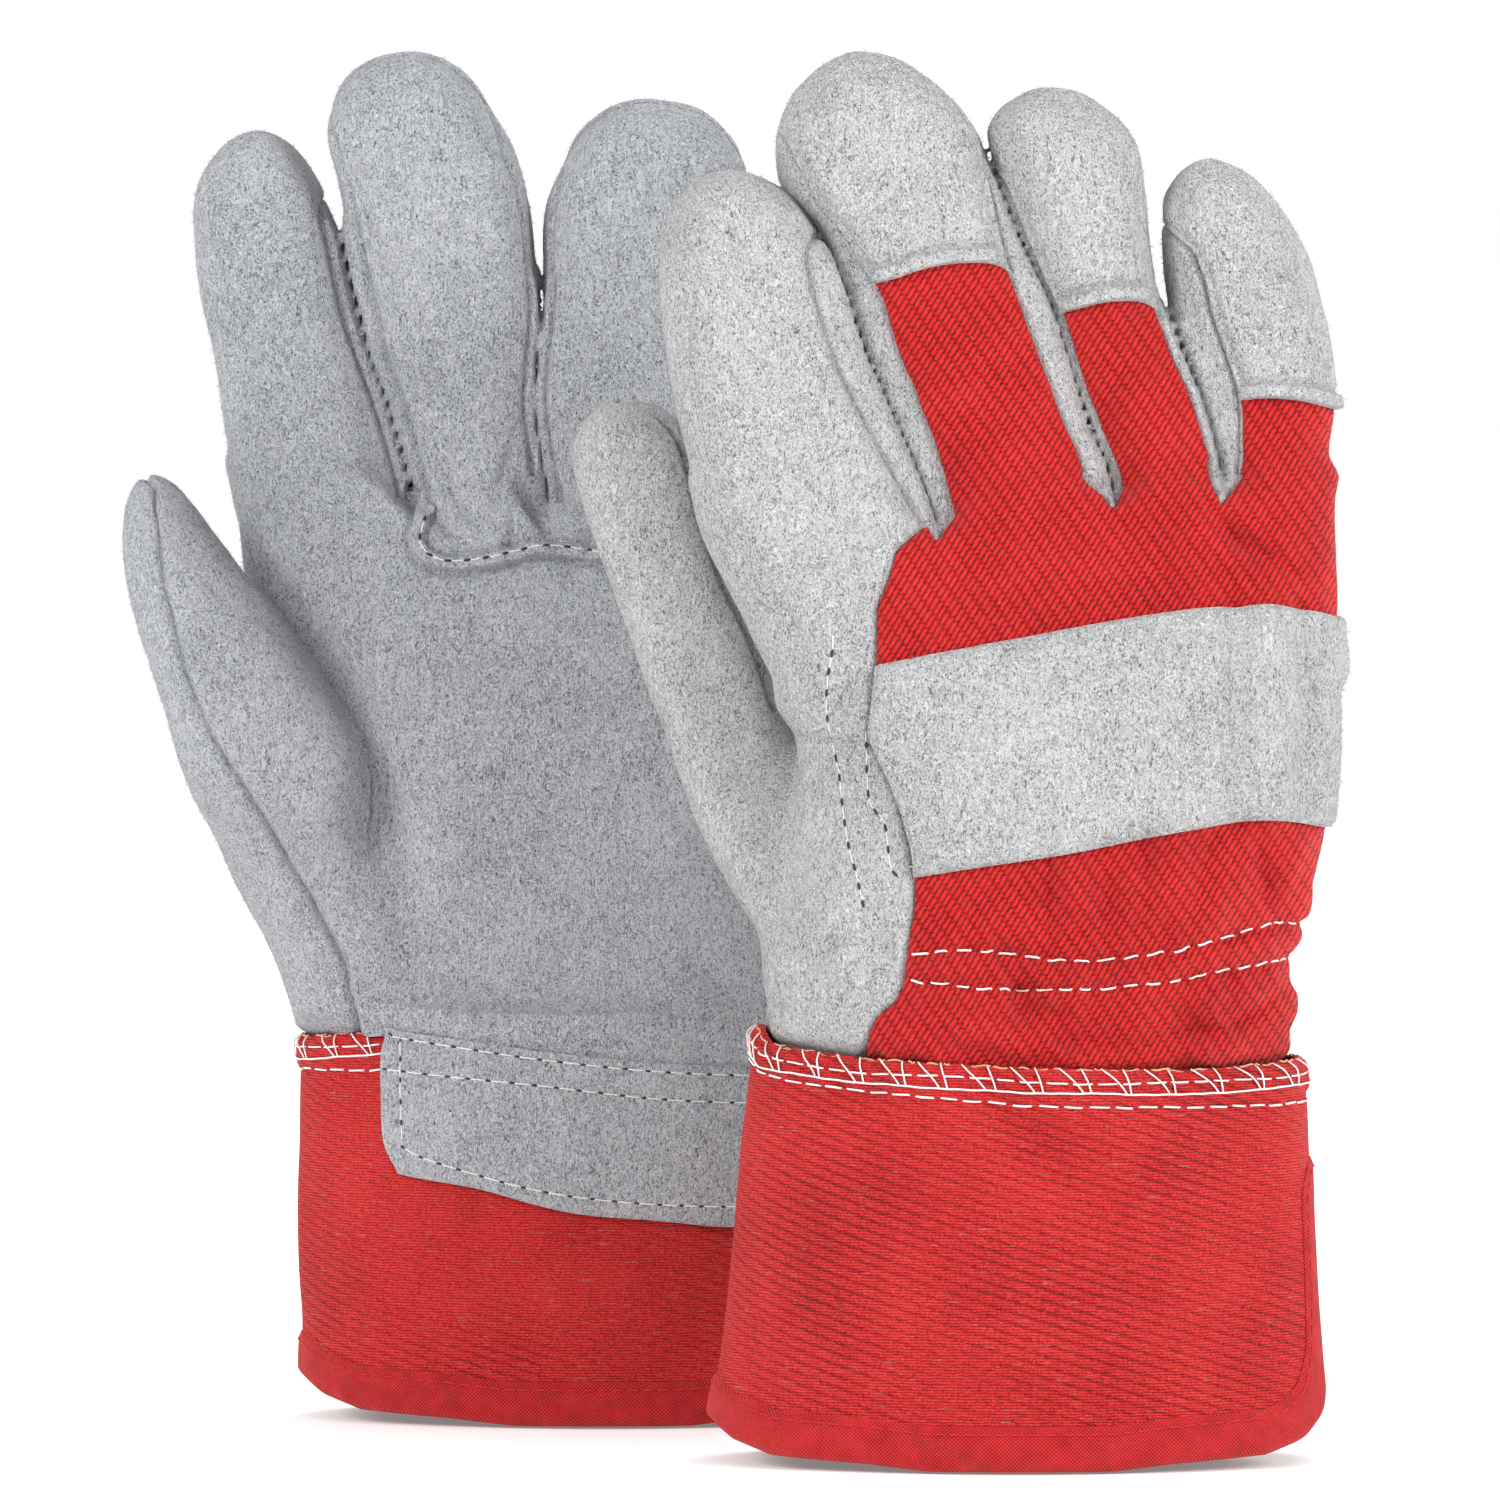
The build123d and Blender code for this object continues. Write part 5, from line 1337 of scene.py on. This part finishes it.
    # ---- linings seen only from inside
    lin = clip(palm, np.minimum(-palm[0][:, C["w"]] - 9.0, np.minimum(170 - palm[0][:, 2], palm[0][:, 2] - 68)))
    M2, cols = finish_panel(lin, C, side, seams=[], lift=-2.4)
    ob = shell(S + "palm_lining_cloth", M2[0], M2[1], 3.1, MAT["lining"], cols)
    place(ob, side, "hand", "lining_fabric", S + "palm_lining")
    b = clip(red, 9.0 - red[0][:, C["sh2"]])
    b = clip(b, b[0][:, C["sh2"]] + 1.5)
    M2, cols = finish_panel(b, C, side, seams=[], lift=-1.1)
    ob = shell(S + "elastic_band", M2[0], M2[1], 1.9, MAT["elastic"], cols)
    place(ob, side, "hand", "elastic", S + "wrist_elastic")


# ------------------------------------------------------------------ cuffs
def cuff_form(side):
    """Functions of the cuff wall: point and normal from arc length and height."""
    rows = CUFF[side]
    y0 = Y0[side]
    ph = np.linspace(0, 2 * np.pi, 721)
    a, b = 56.5, 31.6
    seg = np.hypot(np.diff(a * np.cos(ph)), np.diff(b * np.sin(ph)))
    U = np.concatenate([[0], np.cumsum(seg)])
    L = U[-1]
    r = [list(q) for q in rows]

    def phi_of(u):
        return np.interp(np.mod(u, L), U, ph)

    def raw(u, z):
        t = (z - r[0][0]) / (r[1][0] - r[0][0])
        f = phi_of(u)
        xc, aa, bb = (r[0][k] + (r[1][k] - r[0][k]) * t for k in (1, 2, 3))
        q = np.stack([xc + aa * np.cos(f), y0 - bb * np.sin(f), z], -1)
        n = np.stack([np.cos(f) / aa, -np.sin(f) / bb, np.zeros_like(f)], -1)
        n /= np.linalg.norm(n, axis=-1)[..., None]
        return q, n, f

    def point(u, z, off=0.0):
        u, z = np.asarray(u, float) + 0 * np.asarray(z, float), np.asarray(z, float) + 0 * np.asarray(u, float)
        q, n, f = raw(u, z)
        e = edge(u)
        sh = q.shape[:-1]
        P = np.stack([np.cos(f) * 2.6, np.sin(f) * 2.6, z / 30.0], -1).reshape(-1, 3)
        d = 0.75 * vnoise(P, 31 + len(side)).reshape(sh)
        P = np.stack([u.ravel() / 7.0, z.ravel() / 9.0, 0 * z.ravel()], -1)
        d += 0.22 * vnoise(P, 35).reshape(sh) * smooth(40, 66, z)
        P = np.stack([u.ravel() / 3.4, z.ravel() / 6.0, 0 * z.ravel()], -1)
        d += 0.22 * vnoise(P, 36).reshape(sh) * smooth(9.0, 5.0, e - z)
        # the seam band stands a little proud, drawn in along its two rows
        t = e - z
        d += 0.75 * smooth(7.6, 5.2, t) - 0.30 * np.exp(-((t - 7.0) / 0.7) ** 2) - 0.9 * smooth(1.6, 0.0, t)
        d += 0.9 * smooth(14, 0, z - rim(u))
        return q + n * (d + off)[..., None], n

    def edge(u):
        q, n, f = raw(u, np.full(np.shape(u), 72.0))
        z = tab(CUFF_EDGE[side], q[..., 0])
        return z + 0.07 * np.sin(u * 0.9) * np.cos(u * 0.31)

    def rim(u):
        f = phi_of(u)
        c = np.abs(np.cos(f))
        return np.interp(c, [0, 0.3, 0.5, 0.8, 0.93, 1.0], [-5.5, -5.5, -4.3, -3.3, -0.8, 2.2])

    def cut(u, z):
        """Distance in from the free edge of the cuff: rim and side vent."""
        uu = np.mod(np.asarray(u) + L / 2, L) - L / 2
        h = np.interp(z, [-8, -5.6, -2.6, 3.4, 18, 44], [11, 9.6, 7.6, 4.6, 2.2, 1.2])
        vent = np.sqrt(uu ** 2 + np.clip(z - 43.0, 0, None) ** 2) - h
        return smin(z - rim(u), vent, 9.0)

    return {"point": point, "edge": edge, "rim": rim, "cut": cut, "L": L, "phi": phi_of, "raw": raw}


def cuff_mesh(side, fm, step=1.05):
    nu = int(round(fm["L"] / step))
    us = np.arange(nu) * fm["L"] / nu
    zs = np.arange(-8.0, 82.0, step)
    Ug, Zg = np.meshgrid(us, zs, indexing="ij")
    P, n = fm["point"](Ug, Zg)
    cut = fm["cut"](Ug, Zg)
    top = fm["edge"](Ug) - Zg
    nz = len(zs)
    A = np.concatenate([P.reshape(-1, 3), n.reshape(-1, 3), Ug.reshape(-1, 1), Zg.reshape(-1, 1), cut.reshape(-1, 1), top.reshape(-1, 1)], 1)
    i = np.arange(nu)[:, None] * nz + np.arange(nz - 1)[None, :]
    j = ((np.arange(nu) + 1) % nu)[:, None] * nz + np.arange(nz - 1)[None, :]
    q = np.stack([i, j, j + 1, i + 1], -1).reshape(-1, 4)
    F = np.concatenate([q[:, [0, 1, 2]], q[:, [0, 2, 3]]])
    # arc coordinate jumps at the closing column: keep it continuous there
    last = (q[:, 0] // nz) == nu - 1
    F = np.concatenate([q[~last][:, [0, 1, 2]], q[~last][:, [0, 2, 3]]])
    A2 = A[:nz].copy()
    A2[:, 6] = fm["L"]
    base = len(A)
    A = np.concatenate([A, A2])
    ql = q[last].copy()
    ql[:, 1] = ql[:, 1] - 0 + base
    ql[:, 2] = ql[:, 2] - 0 + base
    F = np.concatenate([F, ql[:, [0, 1, 2]], ql[:, [0, 2, 3]]])
    nn = np.cross(A[F[:, 1], :3] - A[F[:, 0], :3], A[F[:, 2], :3] - A[F[:, 0], :3])
    if (nn * A[F[:, 0], 3:6]).sum() < 0:
        F = F[:, ::-1]
    return (A, F), {"u": 6, "z": 7, "cut": 8, "top": 9, "zero": 7}


# ------------------------------------------------------------------ threads
class Threads:
    """Gathers short bent tubes into one mesh."""

    def __init__(self):
        self.V, self.F, self.N, self.n = [], [], [], 0

    def tube(self, P, r, sides=6):
        P = np.asarray(P, float)
        k = len(P)
        T = np.gradient(P, axis=0)
        T /= np.maximum(np.linalg.norm(T, axis=1), 1e-9)[:, None]
        ref = np.array([0.31, 0.89, 0.33])
        A = np.cross(T, ref)
        A /= np.maximum(np.linalg.norm(A, axis=1), 1e-9)[:, None]
        B = np.cross(T, A)
        rr = np.full(k, r) if np.isscalar(r) else np.asarray(r)
        an = np.arange(sides) * 2 * np.pi / sides
        ring = A[:, None, :] * np.cos(an)[None, :, None] + B[:, None, :] * np.sin(an)[None, :, None]
        V = P[:, None, :] + ring * rr[:, None, None]
        i = np.arange(k - 1)[:, None] * sides + np.arange(sides)[None, :]
        j = np.arange(k - 1)[:, None] * sides + (np.arange(sides)[None, :] + 1) % sides
        q = np.stack([i, j, j + sides, i + sides], -1).reshape(-1, 4)
        F = np.concatenate([q[:, [0, 1, 2]], q[:, [0, 2, 3]]])
        e = []
        for s in range(1, sides - 1):
            e.append([0, s + 1, s])
            o = (k - 1) * sides
            e.append([o, o + s, o + s + 1])
        F = np.concatenate([F, np.array(e)])
        self.V.append(V.reshape(-1, 3))
        self.N.append(ring.reshape(-1, 3))
        self.F.append(F + self.n)
        self.n += k * sides

    def build(self, name, mat):
        if not self.V:
            return None
        V, F = np.concatenate(self.V), np.concatenate(self.F)
        if (np.cross(V[F[:, 1]] - V[F[:, 0]], V[F[:, 2]] - V[F[:, 0]]) * np.concatenate(self.N)[F[:, 0]]).sum() < 0:
            F = F[:, ::-1]
        return mesh_object(name, V, F, mat)


def resample(P, N, step):
    s = np.concatenate([[0], np.cumsum(np.linalg.norm(np.diff(P, axis=0), axis=1))])
    t = np.arange(0, s[-1], step)
    Q = np.stack([np.interp(t, s, P[:, k]) for k in range(3)], 1)
    M = np.stack([np.interp(t, s, N[:, k]) for k in range(3)], 1)
    return Q, M / np.maximum(np.linalg.norm(M, axis=1), 1e-9)[:, None]


def stitch_row(th, P, N, length, gap, r=0.2, lift=0.12, dip=0.45, jitter=0.12, start=0.5, holes=None, hr=0.3, wander=0.0):
    """Stitches of a given length along a curve on cloth: each rises out of its hole and dives back."""
    Q, M = resample(P, N, 0.1)
    if len(Q) < 12:
        return
    T = np.gradient(Q, axis=0)
    T /= np.maximum(np.linalg.norm(T, axis=1), 1e-9)[:, None]
    side = np.cross(T, M)
    k = start
    while True:
        l = length * (1 + jitter * rng.uniform(-1, 1))
        a, b = int(k / 0.1), int((k + l) / 0.1)
        if b >= len(Q) - 2:
            break
        idx = np.linspace(a, b, 9).astype(int)
        t = np.linspace(0, 1, 9)
        h = lift * np.clip(np.sin(np.pi * t) * 2.2, 0, 1) - dip * (np.exp(-(t / 0.07) ** 2) + np.exp(-((1 - t) / 0.07) ** 2))
        w = rng.uniform(-1, 1, 2) * wander
        p = Q[idx] + M[idx] * h[:, None] + side[idx] * (w[0] + (w[1] - w[0]) * t)[:, None]
        th.tube(p, r * (0.92 + 0.16 * rng.random()))
        if holes is not None:
            c = Q[idx[0]] - T[idx[0]] * gap * 0.5
            holes.append((c, M[idx[0]], T[idx[0]], hr, gap))
        k += l + gap * (1 + jitter * rng.uniform(-1, 1))


def iso_chains(A, F, f, level):
    """Chains of points where a field crosses a level, as (points, normals) from outer columns."""
    s = f - level
    s = np.where(np.abs(s) < 1e-6, 1e-6, s)
    S = s[F] > 0
    n = S.sum(1)
    G = F[(n == 1) | (n == 2)]
    if not len(G):
        return []
    segs = []
    Sg = s[G] > 0
    lone = np.where((Sg.sum(1) == 1)[:, None], Sg, ~Sg)
    k = np.argmax(lone, 1)
    r = np.arange(len(G))
    a, b, c = G[r, k], G[r, (k + 1) % 3], G[r, (k + 2) % 3]
    m = len(A)

    def key(p, q):
        return np.minimum(p, q).astype(np.int64) * m + np.maximum(p, q)

    k1, k2 = key(a, b), key(a, c)
    adj = {}
    for x, y in zip(k1.tolist(), k2.tolist()):
        adj.setdefault(x, []).append(y)
        adj.setdefault(y, []).append(x)

    def pt(kk):
        lo, hi = kk // m, kk % m
        t = s[lo] / (s[lo] - s[hi])
        return A[lo] * (1 - t)[:, None] + A[hi] * t[:, None]

    out = []
    left = set(adj)
    ends = [q for q in adj if len(adj[q]) == 1]
    for st in ends + list(adj):
        if st not in left:
            continue
        chain = [st]
        left.discard(st)
        cur = st
        while True:
            nx = [q for q in adj[cur] if q in left]
            if not nx:
                break
            cur = nx[0]
            left.discard(cur)
            chain.append(cur)
        if len(chain) > 6:
            out.append(pt(np.array(chain)))
    return out


def dress_cuff(side):
    fm = cuff_form(side)
    M, C = cuff_mesh(side, fm)
    S = side + "_"
    M = clip(M, M[0][:, C["top"]])
    M = clip(M, M[0][:, C["cut"]])
    cloth = clip(M, M[0][:, C["cut"]] - 7.6)
    band = clip(M, 8.8 - M[0][:, C["cut"]])
    M2, cols = finish_panel(cloth, C, side, seams=["top"], depth=0.35, width=1.2, uvcols=("u", "z", "zero"))
    ob = shell(S + "cuff_canvas", M2[0], M2[1], 1.6, MAT["canvas"], cols)
    place(ob, side, "hand", "rubberised_canvas", S + "cuff")
    M2, cols = finish_panel(band, C, side, seams=["cut"], lift=0.75, depth=1.5, width=1.7, uvcols=("u", "z", "zero"),
                            extra=lambda B: -0.55 * smooth(8.0, 8.8, B[:, C["cut"]]) - 0.28 * np.exp(-((B[:, C["cut"]] - 7.2) / 0.45) ** 2))
    ob = shell(S + "cuff_edge_binding", M2[0], M2[1], 2.5, MAT["tape"], cols)
    place(ob, side, "hand", "binding_tape", S + "cuff_binding")
    tr = Threads()
    for ch in iso_chains(M2[0], M2[1], M2[0][:, C["cut"]], 7.2):
        stitch_row(tr, ch[:, cols["out"]], ch[:, cols["on"]], 2.3, 0.8, 0.2, 0.10, 0.3)
    ob = tr.build(S + "binding_stitches", MAT["thread_red"])
    place(ob, side, "hand", "sewing_thread")
    # overlock ladder along the top band
    L = fm["L"]
    pt = lambda u, t, off: fm["point"](u, fm["edge"](u) - t, off)
    hidden = lambda x, y: (dist2(spline(tongue(side), True, 2.0), np.array([x]), np.array([60.0]))[0] > 0.5) and (PALM[side] * (y - Y0[side]) > 4)
    th = Threads()
    u = np.arange(0, L + 0.3, 0.5)

    def runs(u):
        """Pieces of a row around the cuff that the leather tongue leaves visible."""
        P, n = pt(u, 3.0, 0.0)
        vis = np.array([not hidden(a, b) for a, b in zip(P[:, 0], P[:, 1])])
        k = 0
        while k < len(u):
            if not vis[k]:
                k += 1
                continue
            j = k
            while j < len(u) and vis[j]:
                j += 1
            if j - k > 10:
                yield u[k:j]
            k = j

    for w in runs(u):
        b = 4.6 + 0.08 * np.sin(w * 0.3)
        P, n = pt(w, b, 0.22)
        th.tube(P, 0.21)
        P, n = pt(w, 2.5 + 0.3 * np.sin(w * 0.13), 0.12)
        stitch_row(th, P, n, 3.7, 1.0, 0.2, 0.12, 0.35, 0.15)
        k = w[0] + 1.5
        while k < w[-1] - 7:
            for du0, du1 in ((0.0, 5.2), (4.6, 6.3)):
                j0, j1 = rng.uniform(-0.5, 0.5, 2)
                t = np.linspace(0, 1, 12)
                uu = k + 6.3 - (du0 + j0 + (du1 - du0 + j1) * (t + 0.10 * np.sin(t * np.pi)))
                tt = -0.1 + (b.mean() + 0.05) * t
                P, n = pt(uu, tt, 0.0)
                P = P + n * (0.25 + 0.28 * np.sin(np.pi * t) - 0.5 * np.exp(-(t / 0.06) ** 2))[:, None]
                th.tube(P, 0.175)
            k += 9.3 + rng.uniform(-0.9, 0.9)
    ob = th.build(S + "overlock_thread", MAT["thread"])
    place(ob, side, "hand", "sewing_thread", S + "cuff_overlock")
    th = Threads()
    for w in runs(u):
        Pm, n = pt(w, 6.0, 0.0)
        t = tab(CUFF_ROW[side], Pm[:, 0])
        P, n = pt(w, t, 0.14)
        stitch_row(th, P, n, 3.6, 1.1, 0.22, 0.12, 0.4, 0.12, wander=0.15)
    ob = th.build(S + "cuff_top_stitches", MAT["thread"])
    place(ob, side, "hand", "sewing_thread", S + "cuff_topstitch")
    # tan cut ends of warp along the raw top edge
    th = Threads()
    for w in runs(u):
        k = w[0]
        while k < w[-1] - 4:
            l = rng.uniform(1.0, 4.0)
            t = np.linspace(0, 1, 6)
            P, n = pt(k + l * t, rng.uniform(-0.15, 0.35) + 0.15 * np.sin(t * 5 + k), -0.25)
            th.tube(P, rng.uniform(0.12, 0.22), 5)
            k += l * rng.uniform(0.6, 2.2)
    ob = th.build(S + "cuff_raw_edge", MAT["tan"])
    place(ob, side, "hand", "sewing_thread")
    return fm


# ------------------------------------------------------------------ stitching on the hands
from mathutils.bvhtree import BVHTree
from mathutils import Vector


def side_bvh(side, names):
    Vs, Fs, n = [], [], 0
    for nm in names:
        (R, F), cols, C, part = PANEL[(side, nm)]
        Vs.append(R[:, cols["out"]])
        Fs.append(F + n)
        n += len(R)
    V, F = np.concatenate(Vs), np.concatenate(Fs)
    return BVHTree.FromPolygons(V.tolist(), F.tolist())


def project(bvh, pts, front):
    """Points (x, z) dropped on the surface seen from -Y (front=True) or from +Y."""
    P, N = [], []
    for x, z in pts:
        o = Vector((x, -200.0 if front else 200.0, z))
        h = bvh.ray_cast(o, Vector((0, 1.0 if front else -1.0, 0)))
        if h[0] is not None:
            n = h[1] if h[1].y * (1 if front else -1) < 0 else -h[1]
            P.append(list(h[0]))
            N.append(list(n))
    return np.array(P), np.array(N)


def holes_mesh(name, holes, mat):
    """Small lens-shaped pits where a needle pulled the leather in, coloured near black as painted shade inside each
    hole.
    """
    if not holes:
        return None
    V, F, NN, n = [], [], [], 0
    for c, m, t, r, g in holes:
        m = m / np.linalg.norm(m)
        t = t - m * (t @ m)
        t = t / max(np.linalg.norm(t), 1e-9)
        b = np.cross(m, t)
        k = 8
        an = np.arange(k) * 2 * np.pi / k
        ring = c + m * 0.06 + np.outer(np.cos(an), t) * max(g * 0.62, r) + np.outer(np.sin(an), b) * r
        V += [c + m * 0.13] + list(ring) + [c - m * 0.35]
        for i in range(k):
            F.append([n, n + 1 + i, n + 1 + (i + 1) % k])
            F.append([n + k + 1, n + 1 + (i + 1) % k, n + 1 + i])
        n += k + 2
    return mesh_object(name, np.array(V), np.array(F), mat)


def sew(side):
    S = side + "_"
    front_is_back = side == "right"
    hand = [n for (s, n) in PANEL if s == side and PANEL[(s, n)][3] == "hand"]
    bvh = side_bvh(side, hand)
    dors = side == "right"
    white, holes = Threads(), []
    # two rows of shirring on the back, drawn tight
    th = Threads()
    for row in SHIR[side]:
        c = spline(row, False, 1.0)
        lo = 30 if side == "right" else -62
        c = c[(c[:, 0] > lo)]
        P, N = project(bvh, c, dors)
        keep = np.ones(len(P), bool)
        if len(P) > 10:
            stitch_row(th, P, N, 3.3, 1.4, 0.24, 0.30, 0.5, 0.25, wander=0.35)
    ob = th.build(S + "shirring_thread", MAT["thread"])
    place(ob, side, "hand", "sewing_thread", S + "shirring_stitches")
    # edges of the strap
    tg = Threads()
    for lines, off in ((STRAP_TOP, -2.2), (STRAP_LOW, 2.2)):
        c = spline(lines[side], False, 1.0)
        c = np.stack([c[:, 0], c[:, 1] + off], 1)
        lo, hi = (26, 111) if side == "right" else (-60, 14)
        c = c[(c[:, 0] > lo) & (c[:, 0] < hi)]
        P, N = project(bvh, c, dors)
        if len(P) > 10:
            stitch_row(tg, P, N, 2.6, 0.9, 0.16, 0.03, 0.4, 0.15)
    # tongue of the palm leather: rows across and round its edge
    tz = tongue(side)
    f = (lambda x: x) if side == "left" else (lambda x: 0.5 * (CUFF["right"][0][1] + CUFF["right"][1][1]) - (x - 0.5 * (CUFF["left"][0][1] + CUFF["left"][1][1])))
    rows = [[(-69.4, 71.1), (-69.4, 60), (-69, 49.6)],
            [(-69, 49.6), (-66, 48), (-60, 46.0), (-42.2, 41.4), (-24.3, 39.0), (-4.4, 37.9), (4.5, 38.4), (7.2, 41)],
            [(7.2, 41), (7.4, 60), (7.2, 66)],
            [(-71.5, 71.9), (-69, 71.2), (-55, 69.2), (-42, 67.4), (-20, 65.0), (-1, 63.8), (9, 63.8)],
            [(-72.6, 65), (-60, 63.8), (-42, 62.2), (-20, 59.6), (-2, 58.4), (9, 58.2)]]
    for row in rows:
        c = spline([(f(x), z + 0.0) for x, z in row], False, 0.6)
        P, N = project(bvh, c, not dors)
        if len(P) > 10:
            stitch_row(white, P, N, 3.5, 0.9, 0.15, 0.02, 0.35, 0.12, holes=holes, hr=0.26)
    # stitch holes down the palm strip beside the red back
    if side == "right":
        X = lambda px: (px - 750) * 0.1935
        Z = lambda py: (1428.6 - py) * 0.1935
        r1 = [(832, 626), (832, 643), (827, 677), (827, 713), (838, 765), (842, 801), (845, 822), (849, 844), (855, 865), (862, 895)]
        r2 = [(865, 715), (868, 790), (883, 815), (889, 856), (893, 865)]
        for row in (r1, r2):
            c = spline([(X(a), Z(b)) for a, b in row][::-1], False, 0.6)
            P, N = project(bvh, c, True)
            stitch_row(white, P, N, 3.0, 1.3, 0.13, -0.02, 0.4, 0.2, holes=holes, hr=0.34)
    # seam at the base of the fingers
    gp = spline(GUNN[side], False, 0.8)
    gp = gp[gp[:, 1] < 175]
    ctr = gp.mean(0)
    for off in (2.1,):
        tn = np.gradient(gp, axis=0)
        tn /= np.linalg.norm(tn, axis=1)[:, None]
        nrm = np.stack([-tn[:, 1], tn[:, 0]], 1)
        c = gp + nrm * off
        P, N = project(bvh, c, not dors)
        if len(P) > 10:
            stitch_row(white, P, N, 2.8, 1.2, 0.13, -0.03, 0.4, 0.2, holes=holes, hr=0.32)
    ob = white.build(S + "leather_stitches", MAT["thread"])
    place(ob, side, "hand", "sewing_thread")
    ob = tg.build(S + "strap_stitches", MAT["thread_grey"])
    place(ob, side, "hand", "sewing_thread")
    # near-black pits at the needle holes: painted shade
    ob = holes_mesh(S + "stitch_holes", holes, MAT["hole"])
    if ob:
        place(ob, side, "hand", "sewing_thread")


MAT["tan"] = plain_cloth("tan_ends", srgb(170, 128, 96), srgb(226, 190, 150), 5.0, 0.85, 0.00005)
# near-black colour of the stitch pits is painted shade inside the needle holes
MAT["hole"] = plain_cloth("painted_shade_stitch_hole", srgb(34, 36, 40), srgb(74, 77, 82), 5.0, 0.95, 0.00005)

for side in ("right", "left"):
    dress(side)
    dress_cuff(side)
    sew(side)


# ------------------------------------------------------------------ camera, light, floor
E, DIST = math.radians(2.5), 3000.0
back = np.array([0, -math.cos(E), math.sin(E)])
eye = np.array([0, 0, 129.5]) + back * DIST
cam = bpy.data.cameras.new("view")
cam.sensor_width = 36.0
cam.sensor_fit = "HORIZONTAL"
cam.lens = 15245.0 / 1500.0 * 36.0
cam.clip_start, cam.clip_end = 0.05, 90.0
co = bpy.data.objects.new("view", cam)
co.location = tuple(to_row(eye))
co.rotation_euler = (math.pi / 2 - E, 0, 0)
bpy.context.scene.collection.objects.link(co)
bpy.context.scene.camera = co


def area(name, loc, aim, size, power, col=(1, 1, 1)):
    l = bpy.data.lights.new(name, "AREA")
    l.shape = "RECTANGLE"
    l.size, l.size_y = size
    l.energy = power
    l.color = col
    o = bpy.data.objects.new(name, l)
    o.location = loc
    o.rotation_euler = (Vector(aim) - Vector(loc)).to_track_quat("-Z", "Y").to_euler()
    bpy.context.scene.collection.objects.link(o)
    return o


area("key", (-1.5, -1.3, 1.15), (0, 0, 0.13), (0.55, 0.9), 29.0)
area("second", (1.7, -1.15, 0.95), (0, 0, 0.12), (0.55, 0.9), 31.0)
area("rim", (0.5, 1.4, 1.5), (0, 0, 0.15), (0.9, 0.8), 12.0)

w = bpy.data.worlds.new("studio")
w.use_nodes = True
wn = w.node_tree
wy = sep(wn, node(wn, "ShaderNodeTexCoord").outputs["Generated"])[1]
wr = node(wn, "ShaderNodeMapRange", interpolation_type="SMOOTHSTEP")
for q, v in (("From Min", -0.45), ("From Max", 0.55), ("To Min", 0.63), ("To Max", 1.0)):
    wr.inputs[q].default_value = v
wn.links.new(wy, wr.inputs["Value"])
wn.links.new(wr.outputs[0], wn.nodes["Background"].inputs[0])
w.node_tree.nodes["Background"].inputs[1].default_value = 1.03
bpy.context.scene.world = w
bpy.context.scene.view_settings.view_transform = "Standard"
bpy.context.scene.view_settings.look = "None"

fz = float(CAD_BOX[0][2]) - 0.0004
fm_ = bpy.data.meshes.new("floor")
R = 30.0
fm_.from_pydata([(-R, -R, fz), (R, -R, fz), (R, R, fz), (-R, R, fz)], [], [(0, 1, 2, 3)])
fo = bpy.data.objects.new("floor", fm_)
m, nt, b = new_mat("floor_paper")
b.inputs["Base Color"].default_value = (0.975, 0.975, 0.975, 1)
b.inputs["Roughness"].default_value = 0.8
b.inputs["Specular IOR Level"].default_value = 0.1
b.inputs["Emission Color"].default_value = (1, 1, 1, 1)
b.inputs["Emission Strength"].default_value = 0.19
fm_.materials.append(m)
bpy.context.scene.collection.objects.link(fo)
